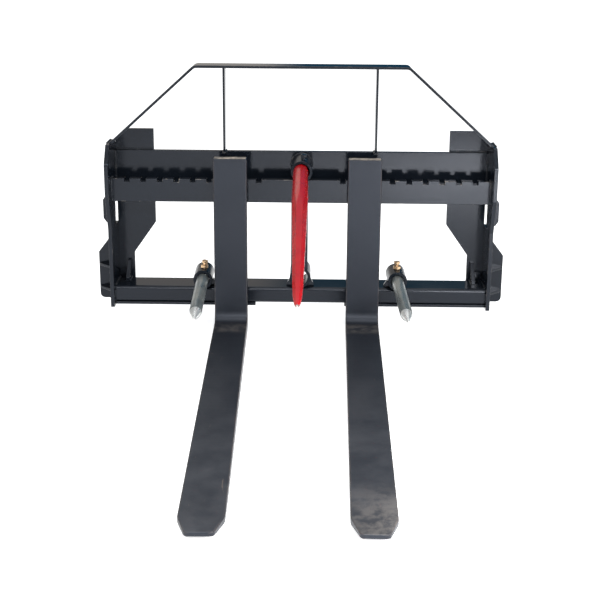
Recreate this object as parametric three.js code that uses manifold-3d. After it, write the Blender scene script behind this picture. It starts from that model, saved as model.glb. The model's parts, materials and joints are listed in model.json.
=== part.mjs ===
// Pallet fork attachment for a loader: a hook-type carriage with a notched rail, two sliding
// forks with spring latches, a guard hoop, a hay spear and two stabilizer spears in sockets.
//
// Units are millimetres. +X is to the right seen from the fork tips, +Y runs away from the
// tips towards the loader, +Z is up. While modelling, y = 0 is the front face of the notched
// rail and z = 0 is the floor under the blades. The last lines move the origin to the middle
// of the footprint.
import * as THREE from 'three';
import { mergeVertices } from 'three/addons/utils/BufferGeometryUtils.js';
import Module from 'manifold-3d';

const wasm = await Module();
wasm.setup();

// ---------------------------------------------------------------- driving dimensions
const GAP = 0.3;                       // air left between two pieces that touch
const SIDES = [['left', -1], ['right', 1]];

const FRAME_WIDTH = 1190;              // over the side plates
const PLATE = 12;                      // side plate thickness
const INNER = FRAME_WIDTH / 2 - PLATE; // inner face of a side plate
const FRAME_DEPTH = 101.6;             // rail front face to attach plate

const RAIL = { thick: 25, bottom: 406, top: 478 };
const NOTCH = { pitch: 50.8, first: 129, count: 9, width: 16, depth: 10 };
const CROSSBAR = { front: 86, bottom: 430, top: 551 };
const TUBE = { bottom: 79.7, height: 50.8, wall: 6.35, corner: 11 };
const TUBE_TOP = TUBE.bottom + TUBE.height;
const LIP = { depth: 16, bottom: 71, inner: 140 };

const ATTACH = { thick: 10, bottom: 57, top: 616, inner: 464, wide: 651, flare: 213 };
const ATTACH_FRONT = FRAME_DEPTH + GAP;
const ATTACH_REAR = ATTACH_FRONT + ATTACH.thick;
const LOCK_LIP = { thick: 12, reach: 66, slotLength: 60, slotWidth: 26 };

const HOOP = { top: 825, thick: 8, front: 10, depth: 70, bend: 324, foot: 583, base: 585 };
const UPRIGHT = { thick: 7, front: 50, depth: 50, x: [-238, 231] };

const FORK = { width: 101.6, thick: 38, rear: -3, top: 551, blade: 1200, tipTop: 22, tipBottom: 11 };
const FORK_FRONT = FORK.rear - FORK.thick;
const FORK_TIP = FORK_FRONT - FORK.blade;
const FORK_PLACES = { left: -230.6, right: 179.8 };  // the notch over which each latch stands
const TOE_IN = { left: 1.15, right: -1.1 };          // degrees that each blade turns inwards
const LATCH = { x: -15.4, y: 12, radius: 7, travel: 11, lowest: 480 };
const HOOK = { width: 80, top: 505, finger: 440 };

const SPEAR = { x: 2.5, z: 512, radius: 22.2, tip: -1257, tail: 84, turn: 0.38 };
const SPEAR_SLEEVE = { outer: 33, bore: 24 };
const STABILIZER = { radius: 18.25, tip: -380, tail: 74, point: 78 };
const STABILIZER_SLEEVE = { outer: 30, bore: 20, front: -20, rear: 76 };
const STABILIZER_PLACES = {
  left: { x: -304, turn: 1.9, boltY: 12, lean: 6 },
  right: { x: 304, turn: 0.6, boltY: 20, lean: 0 },
};

// ---------------------------------------------------------------- finishes
const FINISH = {
  black: { color: 0x2b2e32, roughness: 0.38, metalness: 0.25 },
  forged: { color: 0x34373c, roughness: 0.5, metalness: 0.3 },
  red: { color: 0xc02a33, roughness: 0.35, metalness: 0.1 },
  steel: { color: 0x8b8b88, roughness: 0.45, metalness: 0.8 },
  zinc: { color: 0xc9b98e, roughness: 0.4, metalness: 0.8 },
};

// ---------------------------------------------------------------- geometry helpers
const ARC_STEPS = 3;
const ROUND = 32;
const radians = THREE.MathUtils.degToRad;

// A closed outline through [u, v, radius] corners; a corner with a radius becomes an arc.
// A mirrored outline is walked backwards, so that it keeps its sense.
function outline(corners, mirror = 1) {
  const placed = corners.map(([u, v, radius = 0]) => ({ at: new THREE.Vector2(u * mirror, v), radius }));
  if (mirror < 0) placed.reverse();
  const shape = new THREE.Shape();
  placed.forEach(({ at, radius }, i) => {
    const go = (point) => (i === 0 ? shape.moveTo(point.x, point.y) : shape.lineTo(point.x, point.y));
    if (radius === 0) {
      go(at);
      return;
    }
    const back = placed.at(i - 1).at.clone().sub(at).normalize();
    const on = placed[(i + 1) % placed.length].at.clone().sub(at).normalize();
    const half = Math.acos(back.dot(on)) / 2;
    const start = at.clone().addScaledVector(back, radius / Math.tan(half));
    const end = at.clone().addScaledVector(on, radius / Math.tan(half));
    const centre = at.clone().addScaledVector(back.clone().add(on).normalize(), radius / Math.sin(half));
    go(start);
    const from = start.sub(centre).angle();
    const to = end.sub(centre).angle();
    shape.absarc(centre.x, centre.y, radius, from, to, back.cross(on) > 0);
  });
  return shape;
}

const rectangle = (u0, u1, v0, v1, radius = 0) =>
  outline([[u0, v0, radius], [u1, v0, radius], [u1, v1, radius], [u0, v1, radius]]);

function extrude(shape, from, to, basis) {
  const geometry = new THREE.ExtrudeGeometry(shape, {
    depth: to - from, bevelEnabled: false, curveSegments: ARC_STEPS,
  });
  return geometry.translate(0, 0, from).applyMatrix4(basis);
}

const X = new THREE.Vector3(1, 0, 0);
const Y = new THREE.Vector3(0, 1, 0);
const Z = new THREE.Vector3(0, 0, 1);
const ALONG_X = new THREE.Matrix4().makeBasis(Y, Z, X);
const ALONG_Y = new THREE.Matrix4().makeBasis(X, Z, Y.clone().negate());

const plateX = (shape, x0, x1) => extrude(shape, Math.min(x0, x1), Math.max(x0, x1), ALONG_X);
const plateY = (shape, y0, y1) => extrude(shape, -y1, -y0, ALONG_Y);
const plateZ = (shape, z0, z1) => extrude(shape, z0, z1, new THREE.Matrix4());

// A turned piece on the Y axis from [radius, y] points; the profile ends on the axis or closes.
function turnedY(profile, segments = ROUND, start = 0) {
  const points = profile.map(([r, y]) => new THREE.Vector2(r, y));
  return new THREE.LatheGeometry(points, segments, start);
}

const turnedZ = (profile, segments) => turnedY(profile, segments).rotateX(Math.PI / 2);

const ring = (outer, bore, from, to) =>
  [[bore, from], [outer, from], [outer, to], [bore, to], [bore, from]];

const rod = (radius, from, to) => [[0, from], [radius, from], [radius, to], [0, to]];

// Across-flats distance to the corner radius of a hexagon.
const hexRadius = (flats) => flats / Math.sqrt(3);

// Welds the corners of a geometry, drops collapsed triangles and turns its faces outwards.
function weld(geometry) {
  const bare = geometry.clone();
  bare.deleteAttribute('normal');
  bare.deleteAttribute('uv');
  const merged = mergeVertices(bare, 1e-3);
  const position = merged.getAttribute('position');
  const index = merged.getIndex().array;
  const kept = [];
  let volume = 0;
  for (let i = 0; i < index.length; i += 3) {
    const [a, b, c] = index.slice(i, i + 3);
    if (a === b || b === c || a === c) continue;
    kept.push(a, b, c);
    const corners = [a, b, c].map((v) => new THREE.Vector3().fromBufferAttribute(position, v));
    volume += corners[0].dot(corners[1].clone().cross(corners[2]));
  }
  merged.setIndex(volume < 0 ? kept.reverse() : kept);
  return merged;
}

function toSolid(geometry) {
  const closed = weld(geometry);
  return new wasm.Manifold(new wasm.Mesh({
    numProp: 3,
    vertProperties: new Float32Array(closed.getAttribute('position').array),
    triVerts: new Uint32Array(closed.getIndex().array),
  }));
}

function toGeometry(solid) {
  const { vertProperties, triVerts } = solid.getMesh();
  const geometry = new THREE.BufferGeometry();
  geometry.setAttribute('position', new THREE.BufferAttribute(vertProperties, 3));
  geometry.setIndex(new THREE.BufferAttribute(triVerts, 1));
  return geometry;
}

const cut = (body, ...tools) =>
  toGeometry(tools.reduce((solid, tool) => solid.subtract(toSolid(tool)), toSolid(body)));
const join = (body, ...others) =>
  toGeometry(others.reduce((solid, other) => solid.add(toSolid(other)), toSolid(body)));
const common = (one, other) => toGeometry(toSolid(one).intersect(toSolid(other)));

// A named piece with a material of its own.
function piece(name, geometry, finish) {
  const closed = weld(geometry);
  closed.computeVertexNormals();
  const mesh = new THREE.Mesh(closed, new THREE.MeshStandardMaterial(FINISH[finish]));
  mesh.name = name;
  return mesh;
}

// ---------------------------------------------------------------- carriage frame
function notchedRail() {
  const { pitch, first, count, width, depth } = NOTCH;
  const end = INNER - GAP;
  const corners = [[-end, RAIL.bottom], [end, RAIL.bottom], [end, RAIL.top]];
  const places = Array.from({ length: count }, (_, k) => first + pitch * k);
  const all = [...places, ...places.map((x) => -x)].sort((a, b) => b - a);
  for (const x of all) {
    corners.push([x + width / 2, RAIL.top], [x + width / 2, RAIL.top - depth]);
    corners.push([x - width / 2, RAIL.top - depth], [x - width / 2, RAIL.top]);
  }
  corners.push([-end, RAIL.top]);
  return plateY(outline(corners), 0, RAIL.thick);
}

function crossbar() {
  const end = INNER - GAP;
  const section = rectangle(CROSSBAR.front, FRAME_DEPTH, CROSSBAR.bottom, CROSSBAR.top, 2);
  return plateX(section, -end, end);
}

function bottomTube() {
  const end = INNER - GAP;
  const { bottom, corner, wall } = TUBE;
  const section = rectangle(0, FRAME_DEPTH, bottom, TUBE_TOP, corner);
  const hollow = rectangle(wall, FRAME_DEPTH - wall, bottom + wall, TUBE_TOP - wall, corner - wall);
  section.holes.push(hollow);
  return plateX(section, -end, end);
}

// Side plate seen along X: a nose in front that stops the forks, a notch open to the rear.
function sidePlate(side) {
  const profile = outline([
    [-18, 66, 4], [-18, 320, 20], [-49, 425, 20], [-49, 530, 20], [-12, HOOP.base, 6],
    [85, HOOP.base, 4], [FRAME_DEPTH, 566, 4], [FRAME_DEPTH, 402, 3], [40, 402, 10],
    [40, 318, 10], [FRAME_DEPTH, 318, 3], [FRAME_DEPTH, 66, 4],
  ]);
  return plateX(profile, side * INNER, side * (INNER + PLATE));
}

function hookLip(side) {
  const section = rectangle(0, LIP.depth, LIP.bottom, TUBE.bottom - GAP, 1.5);
  return plateX(section, side * LIP.inner, side * (INNER - GAP));
}

const LOCK_BOLT = { x: 570, z: 151, radius: 6 };

function lockBolt(side) {
  const head = turnedY([[0, 92.6], [11, 92.6], [11, 98.3], [0, 98.3]], 6);
  const washer = turnedY([[0, 98.3], [11, 98.3], [11, 101.6], [0, 101.6]]);
  const shank = turnedY(rod(LOCK_BOLT.radius, 95, ATTACH_REAR - 0.5), 20);
  return join(head, washer, shank).translate(side * LOCK_BOLT.x, 0, LOCK_BOLT.z);
}

// Z-shaped plate behind the frame: inboard at the top, flared outboard at the bottom.
function attachPlate(side) {
  const profile = outline([
    [ATTACH.inner, ATTACH.top, 3], [ATTACH.inner, 314, 8], [535, ATTACH.flare, 8],
    [535, ATTACH.bottom, 6], [ATTACH.wide, ATTACH.bottom, 16], [ATTACH.wide, ATTACH.flare, 8],
    [585, 300, 8], [585, 582, 6], [548, ATTACH.top, 6],
  ], side);
  const hole = turnedY(rod(LOCK_BOLT.radius + GAP, 90, 130), 20);
  hole.translate(side * LOCK_BOLT.x, 0, LOCK_BOLT.z);
  return cut(plateY(profile, ATTACH_FRONT, ATTACH_REAR), hole);
}

function topLip(side) {
  const rear = ATTACH_REAR + GAP;
  const section = outline([
    [rear, ATTACH.top], [rear, ATTACH.top - 14], [rear + 35, ATTACH.top - 49, 1.5],
    [rear + 42, ATTACH.top - 42, 1.5],
  ]);
  return plateX(section, side * (ATTACH.inner + 16), side * 534);
}

function bottomLip(side) {
  const front = ATTACH_REAR + GAP;
  const middle = (537 + ATTACH.wide - 2) / 2;
  const shape = outline([
    [537, front], [ATTACH.wide - 2, front], [ATTACH.wide - 2, front + LOCK_LIP.reach, 14],
    [537, front + LOCK_LIP.reach, 14],
  ], side);
  const slotEnd = LOCK_LIP.slotLength / 2;
  const slot = outline([
    [middle - slotEnd, front + 22, 8], [middle + slotEnd, front + 22, 8],
    [middle + slotEnd, front + 22 + LOCK_LIP.slotWidth, 8],
    [middle - slotEnd, front + 22 + LOCK_LIP.slotWidth, 8],
  ], side);
  shape.holes.push(slot);
  return plateZ(shape, ATTACH.bottom, ATTACH.bottom + LOCK_LIP.thick);
}

function outerGusset(side, z) {
  const shape = outline([
    [INNER + PLATE + GAP, FRAME_DEPTH], [ATTACH.wide - 3, FRAME_DEPTH, 2],
    [ATTACH.wide - 3, FRAME_DEPTH - 8], [INNER + PLATE + GAP, 50],
  ], side);
  return plateZ(shape, z, z + 8);
}

function tubeGusset(side) {
  const profile = outline([
    [FRAME_DEPTH, TUBE_TOP + GAP], [FRAME_DEPTH, 190], [FRAME_DEPTH - 12, 190, 3],
    [50, TUBE_TOP + 12], [50, TUBE_TOP + GAP],
  ]);
  return plateX(profile, side * 545, side * 557);
}

function sideLug(side) {
  const outer = INNER + PLATE;
  const shape = outline([
    [outer + GAP, 331], [outer + 12, 331, 3], [outer + 21.5, 345, 4], [outer + 21.5, 404, 4],
    [outer + 12, 417, 3], [outer + GAP, 417],
  ], side);
  return plateY(shape, 26, 38);
}

// A flat bar bent twice: level across the top, legs sloping down to the side plates.
function guardHoop() {
  const { top, thick, bend, foot, base, front, depth } = HOOP;
  const low = base + GAP;
  const middle = top - thick / 2;
  const slope = Math.atan2(middle - low, foot - bend);
  const halfFoot = thick / 2 / Math.sin(slope);
  const mitre = (thick / 2) * Math.tan(slope / 2);
  const corners = [
    [foot + halfFoot, low], [bend + mitre, top, 24], [-bend - mitre, top, 24],
    [-foot - halfFoot, low], [-foot + halfFoot, low], [-bend + mitre, top - thick, 16],
    [bend - mitre, top - thick, 16], [foot - halfFoot, low],
  ];
  return plateY(outline(corners), front, front + depth);
}

function upright(x) {
  const { thick, front, depth } = UPRIGHT;
  const section = rectangle(x - thick / 2, x + thick / 2, front, front + depth, 1);
  return plateZ(section, CROSSBAR.top + GAP, HOOP.top - HOOP.thick - GAP);
}

function centrePost() {
  const bar = plateY(rectangle(-29, 23, 180, RAIL.bottom - GAP), 4, 16);
  const saddle = turnedY(rod(SPEAR_SLEEVE.outer + GAP, -60, 140));
  return cut(bar, saddle.translate(0, 0, LOWER_SLEEVE_Z));
}

// ---------------------------------------------------------------- spears and sockets
const LOWER_SLEEVE_Z = TUBE_TOP + GAP + SPEAR_SLEEVE.outer;
const STABILIZER_Z = TUBE_TOP + GAP + STABILIZER_SLEEVE.outer;
const SET_BOLT = { radius: 6, nutFlats: 22, nutHeight: 9, headFlats: 18, headHeight: 8, stand: 7 };

// A tube along Y with a cross hole for its set bolt.
function sleeve({ outer, bore }, { front, rear, boltY, lean }) {
  const hole = turnedZ(rod(SET_BOLT.radius + GAP, 0, outer + 5), 20).rotateY(radians(lean));
  return cut(turnedY(ring(outer, bore, front, rear)), hole.translate(0, boltY, 0));
}

function setNut(outer) {
  const base = outer + GAP;
  const hexagon = turnedZ(rod(hexRadius(SET_BOLT.nutFlats), base, base + SET_BOLT.nutHeight), 6);
  return cut(hexagon, turnedZ(rod(SET_BOLT.radius + GAP, 0, base + 40), 20));
}

// The head's underside stands off by shoulder; the shank reaches down to tip.
function setBolt(shoulder, tip) {
  const head = rod(hexRadius(SET_BOLT.headFlats), shoulder, shoulder + SET_BOLT.headHeight);
  return join(turnedZ(rod(SET_BOLT.radius, tip, shoulder + 2), 20), turnedZ(head, 6));
}

// Round bar that eight flats taper to a point, one flat on top.
function haySpear() {
  const { radius, tip, tail } = SPEAR;
  const bar = turnedY([[0, tip], [4, tip], [radius, tip + 90], [radius, tail], [0, tail]]);
  const flats = [
    [0, tip], [3.5, tip + 3], [6.5, tip + 24], [9.2, tip + 62], [11, tip + 122],
    [13, tip + 257], [22.2, tip + 880], [26, tip + 1130], [26, tail + 5], [0, tail + 5],
  ];
  const toCorner = 1 / Math.cos(Math.PI / 8);
  const pyramid = turnedY(flats.map(([r, y]) => [r * toCorner, y]), 8, Math.PI / 8);
  return common(bar, pyramid);
}

function stabilizerSpear() {
  const { radius, tip, tail, point } = STABILIZER;
  const profile = [
    [0, tip], [3, tip + 2], [radius * 0.62, tip + point * 0.45], [radius * 0.93, tip + point * 0.85],
    [radius, tip + point], [radius, tail - 3], [radius - 3, tail], [0, tail],
  ];
  return turnedY(profile);
}

// Small plate between a sleeve and the top of the tube, on one side of the sleeve.
function sleeveBrace(outer, side, y) {
  const reach = outer + 10;
  const blank = plateY(outline([
    [12 * side, -outer], [reach * side, -outer], [reach * side, 6 - outer], [(outer - 1) * side, -6],
    [12 * side, -6],
  ]), y, y + 10);
  return cut(blank, turnedY(rod(outer + GAP, y - 20, y + 30)));
}

// ---------------------------------------------------------------- forks
// One forging: upright shank, heel and tapered blade with a narrowed tip.
function forkForging() {
  const side = outline([
    [FORK_TIP, FORK.tipBottom], [FORK_TIP + 150, 0], [FORK.rear, 0, 40], [FORK.rear, FORK.top, 3],
    [FORK_FRONT, FORK.top, 3], [FORK_FRONT, FORK.thick, 30], [FORK_TIP + 900, FORK.thick],
    [FORK_TIP, FORK.tipTop, 3],
  ]);
  const half = FORK.width / 2;
  const plan = outline([
    [-half, 20], [half, 20], [half, FORK_TIP + 62, 14], [half - 20, FORK_TIP, 10],
    [20 - half, FORK_TIP, 10], [-half, FORK_TIP + 62, 14],
  ]);
  return common(plateX(side, -half, half), plateZ(plan, -10, FORK.top + 10));
}

function upperHook() {
  const half = HOOK.width / 2;
  const front = FORK.rear + GAP;
  const profile = outline([
    [front, RAIL.top + GAP], [28.5, RAIL.top + GAP, 2], [28.5, HOOK.finger, 2],
    [44, HOOK.finger, 6], [56, HOOK.finger + 14, 6], [56, HOOK.top, 6], [front, HOOK.top],
  ]);
  const guide = turnedZ(rod(LATCH.radius + GAP, 400, 600), 24);
  const pocket = turnedZ(rod(10.5, COLLAR.low - GAP, 600), 24);
  const shift = [LATCH.x, LATCH.y, 0];
  return cut(plateX(profile, -half, half), guide.translate(...shift), pocket.translate(...shift));
}

function lowerHook() {
  const half = HOOK.width / 2;
  const front = FORK.rear + GAP;
  const profile = outline([
    [front, 42], [30, 42, 6], [40, 52, 6], [40, 77.5, 2], [19.5, 77.5, 2], [19.5, 67, 1],
    [front, 67],
  ]);
  return plateX(profile, -half, half);
}

// The pin stands lifted: its collar sits near the top of the pocket, the spring above it.
const COLLAR = { radius: 9.8, thick: 3, low: 490.3 };
const CAP = { radius: 14, bore: 10.5, top: 522.8, thick: 2.5 };
const HANDLE = { radius: 4, z: 538.5, half: 34 };

function latchPin() {
  const raised = COLLAR.low + LATCH.travel;
  const profile = [
    [0, LATCH.lowest], [LATCH.radius - 1.5, LATCH.lowest], [LATCH.radius, LATCH.lowest + 2],
    [LATCH.radius, raised], [COLLAR.radius, raised], [COLLAR.radius, raised + COLLAR.thick],
    [LATCH.radius, raised + COLLAR.thick], [LATCH.radius, HANDLE.z + 6], [0, HANDLE.z + 7],
  ];
  const eye = turnedY(rod(HANDLE.radius + GAP, -20, 20), 16).rotateZ(Math.PI / 2);
  return cut(turnedZ(profile, 24), eye.translate(0, 0, HANDLE.z));
}

function latchHousing() {
  const low = HOOK.top + GAP;
  const { radius, bore, top, thick } = CAP;
  const hole = LATCH.radius + GAP;
  return turnedZ([
    [bore, low], [radius, low], [radius, top - 1.5], [radius - 1.5, top], [hole, top],
    [hole, top - thick], [bore, top - thick], [bore, low],
  ], 24);
}

function latchSpring() {
  const wire = 1;
  const low = COLLAR.low + LATCH.travel + COLLAR.thick + GAP + wire;
  const high = CAP.top - CAP.thick - GAP - wire;
  const turns = 4.5;
  const steps = 13 * turns;
  const mean = (LATCH.radius + CAP.bore) / 2;
  const points = Array.from({ length: Math.round(steps) + 1 }, (_, i) => {
    const t = i / Math.round(steps);
    const angle = 2 * Math.PI * turns * t;
    return new THREE.Vector3(mean * Math.cos(angle), mean * Math.sin(angle), low + (high - low) * t);
  });
  const section = new THREE.Shape().absarc(0, 0, wire, 0, 2 * Math.PI);
  return new THREE.ExtrudeGeometry(section, {
    steps: points.length - 1, curveSegments: 3, extrudePath: new THREE.CatmullRomCurve3(points),
  });
}

const latchHandle = () =>
  turnedY(rod(HANDLE.radius, -HANDLE.half, HANDLE.half), 16)
    .rotateZ(Math.PI / 2).translate(0, 0, HANDLE.z);

// ---------------------------------------------------------------- assembly
const attachment = new THREE.Group();

attachment.add(piece('notched_fork_rail', notchedRail(), 'black'));
attachment.add(piece('rear_crossbar', crossbar(), 'black'));
attachment.add(piece('bottom_tube', bottomTube(), 'black'));
attachment.add(piece('guard_hoop', guardHoop(), 'black'));
attachment.add(piece('centre_post', centrePost(), 'black'));

SIDES.forEach(([name, side], i) => {
  attachment.add(piece(`${name}_side_plate`, sidePlate(side), 'black'));
  attachment.add(piece(`${name}_hook_lip`, hookLip(side), 'black'));
  attachment.add(piece(`${name}_attach_plate`, attachPlate(side), 'black'));
  attachment.add(piece(`${name}_top_lip`, topLip(side), 'black'));
  attachment.add(piece(`${name}_bottom_lip`, bottomLip(side), 'black'));
  attachment.add(piece(`${name}_lock_bolt`, lockBolt(side), 'black'));
  attachment.add(piece(`${name}_upper_gusset`, outerGusset(side, 169), 'black'));
  attachment.add(piece(`${name}_lower_gusset`, outerGusset(side, 92), 'black'));
  attachment.add(piece(`${name}_tube_gusset`, tubeGusset(side), 'black'));
  attachment.add(piece(`${name}_side_lug`, sideLug(side), 'black'));
  attachment.add(piece(`${name}_upright`, upright(UPRIGHT.x[i]), 'black'));
});

// A socket with its set bolt, turned a little about the vertical; the bolt leans about Y.
function socket(name, section, place, spearRadius, welded) {
  const group = new THREE.Group();
  group.position.set(place.x, 0, place.z);
  group.rotation.z = radians(place.turn);
  group.add(piece(`${name}_sleeve`, sleeve(section, place), 'black'));
  const stack = new THREE.Group();
  stack.position.set(0, place.boltY, 0);
  stack.rotation.y = radians(place.lean);
  const raise = welded ? SET_BOLT.nutHeight + SET_BOLT.stand : SET_BOLT.stand;
  const bolt = setBolt(section.outer + GAP + raise, spearRadius + 0.8);
  stack.add(piece(`${name}_set_bolt`, bolt, welded ? 'zinc' : 'black'));
  if (welded) stack.add(piece(`${name}_set_nut`, setNut(section.outer), 'zinc'));
  group.add(stack);
  attachment.add(group);
  return group;
}

const upperPlace = {
  x: SPEAR.x, z: SPEAR.z, turn: SPEAR.turn, front: -39, rear: CROSSBAR.front - 0.8, boltY: -6, lean: 8,
};
const lowerPlace = { x: 0, z: LOWER_SLEEVE_Z, turn: 0, front: 0, rear: 99, boltY: 52, lean: 0 };
const spearSocket = socket('upper_spear', SPEAR_SLEEVE, upperPlace, SPEAR.radius, false);
spearSocket.add(piece('hay_spear', haySpear(), 'red'));
const emptySocket = socket('lower_spear', SPEAR_SLEEVE, lowerPlace, SPEAR.radius, false);

for (const [name, side] of SIDES) {
  const brace = sleeveBrace(SPEAR_SLEEVE.outer, side, 22);
  emptySocket.add(piece(`lower_spear_${name}_brace`, brace, 'black'));
  const place = { ...STABILIZER_PLACES[name], ...STABILIZER_SLEEVE, z: STABILIZER_Z };
  const group = socket(`${name}_stabilizer`, STABILIZER_SLEEVE, place, STABILIZER.radius, true);
  group.add(piece(`${name}_stabilizer_spear`, stabilizerSpear(), 'steel'));
  const inboard = sleeveBrace(STABILIZER_SLEEVE.outer, -side, 20);
  group.add(piece(`${name}_stabilizer_brace`, inboard, 'black'));
}

// Each fork turns about its latch pin, so the pin stands over the middle of a notch.
for (const [name] of SIDES) {
  const pivot = new THREE.Group();
  pivot.position.set(FORK_PLACES[name], LATCH.y, 0);
  pivot.rotation.z = radians(TOE_IN[name]);
  const fork = new THREE.Group();
  fork.position.set(-LATCH.x, -LATCH.y, 0);
  const latch = new THREE.Group();
  latch.position.set(LATCH.x, LATCH.y, 0);
  fork.add(piece(`${name}_fork`, forkForging(), 'forged'));
  fork.add(piece(`${name}_upper_hook`, upperHook(), 'forged'));
  fork.add(piece(`${name}_lower_hook`, lowerHook(), 'forged'));
  latch.add(piece(`${name}_latch_housing`, latchHousing(), 'black'));
  latch.add(piece(`${name}_latch_pin`, latchPin(), 'steel'));
  latch.add(piece(`${name}_latch_spring`, latchSpring(), 'steel'));
  latch.add(piece(`${name}_latch_handle`, latchHandle(), 'zinc'));
  fork.add(latch);
  pivot.add(fork);
  attachment.add(pivot);
}

// Origin: the middle of the footprint, on the floor.
const group = new THREE.Group();
group.add(attachment);
group.updateMatrixWorld(true);
const box = new THREE.Box3().setFromObject(group, true);
const centre = box.getCenter(new THREE.Vector3());
attachment.position.set(-centre.x, -centre.y, -box.min.z);
group.updateMatrixWorld(true);

export default group;
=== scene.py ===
"""Looks of a loader pallet fork attachment: enamelled carriage, forged forks, spears and welds.

Lengths are metres. +X is to the right seen from the fork tips, +Y runs from the tips to the
loader and +Z is up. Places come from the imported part, and sizes that the part does not show
as a box are fields of the sub-assembly that uses them.
"""

import json
import logging
import math
from dataclasses import dataclass
from enum import Enum
from typing import Iterable, Sequence

import bmesh
import bpy
from mathutils import Matrix, Vector

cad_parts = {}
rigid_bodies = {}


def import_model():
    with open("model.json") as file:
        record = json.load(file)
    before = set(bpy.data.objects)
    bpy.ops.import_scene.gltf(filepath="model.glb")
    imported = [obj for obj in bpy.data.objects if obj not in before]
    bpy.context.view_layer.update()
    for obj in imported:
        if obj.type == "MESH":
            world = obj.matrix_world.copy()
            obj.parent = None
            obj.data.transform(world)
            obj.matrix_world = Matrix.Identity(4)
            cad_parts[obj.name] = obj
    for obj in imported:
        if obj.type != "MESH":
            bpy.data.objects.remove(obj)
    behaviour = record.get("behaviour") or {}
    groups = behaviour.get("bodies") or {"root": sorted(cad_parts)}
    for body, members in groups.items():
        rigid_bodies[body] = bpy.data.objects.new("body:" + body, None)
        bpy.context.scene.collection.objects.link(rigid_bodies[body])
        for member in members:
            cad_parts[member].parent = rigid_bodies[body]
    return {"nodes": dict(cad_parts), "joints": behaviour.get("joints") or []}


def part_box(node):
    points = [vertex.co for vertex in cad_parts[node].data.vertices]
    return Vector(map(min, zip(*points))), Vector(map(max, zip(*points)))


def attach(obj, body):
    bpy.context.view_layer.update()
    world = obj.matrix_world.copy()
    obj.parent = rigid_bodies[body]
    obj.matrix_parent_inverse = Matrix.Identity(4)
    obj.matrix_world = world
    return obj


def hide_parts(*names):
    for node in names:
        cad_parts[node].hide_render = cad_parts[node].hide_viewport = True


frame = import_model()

LOG = logging.getLogger("pallet_forks")
MM = 0.001
UP = Vector((0.0, 0.0, 1.0))
ACROSS = Vector((1.0, 0.0, 0.0))
SMOOTH_ANGLE = math.radians(32)

Colour = tuple[float, float, float]
Input = bpy.types.NodeSocket | float | Colour


class Body(str, Enum):
    """Bodies of the part that pieces ride on."""

    FRAME = "frame"
    LEFT_FORK = "left_fork"
    LEFT_LATCH = "left_latch"
    LEFT_STABILIZER = "left_stabilizer"
    RIGHT_FORK = "right_fork"
    RIGHT_LATCH = "right_latch"
    RIGHT_STABILIZER = "right_stabilizer"
    HAY_SPEAR = "hay_spear"


class Slot(str, Enum):
    """Material slots of the part's record."""

    FRAME = "frame_black"
    FORK = "fork_black"
    SPEAR = "spear_red"
    STABILIZER = "stabilizer_steel"
    ZINC = "zinc_hardware"
    LATCH = "latch_steel"


class Side(Enum):
    """The two sides of the carriage, with the sign of their X."""

    LEFT = -1
    RIGHT = 1

    @property
    def word(self) -> str:
        """The side's name as the part's nodes spell it.

        Returns:
            left or right.
        """
        return self.name.lower()


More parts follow.
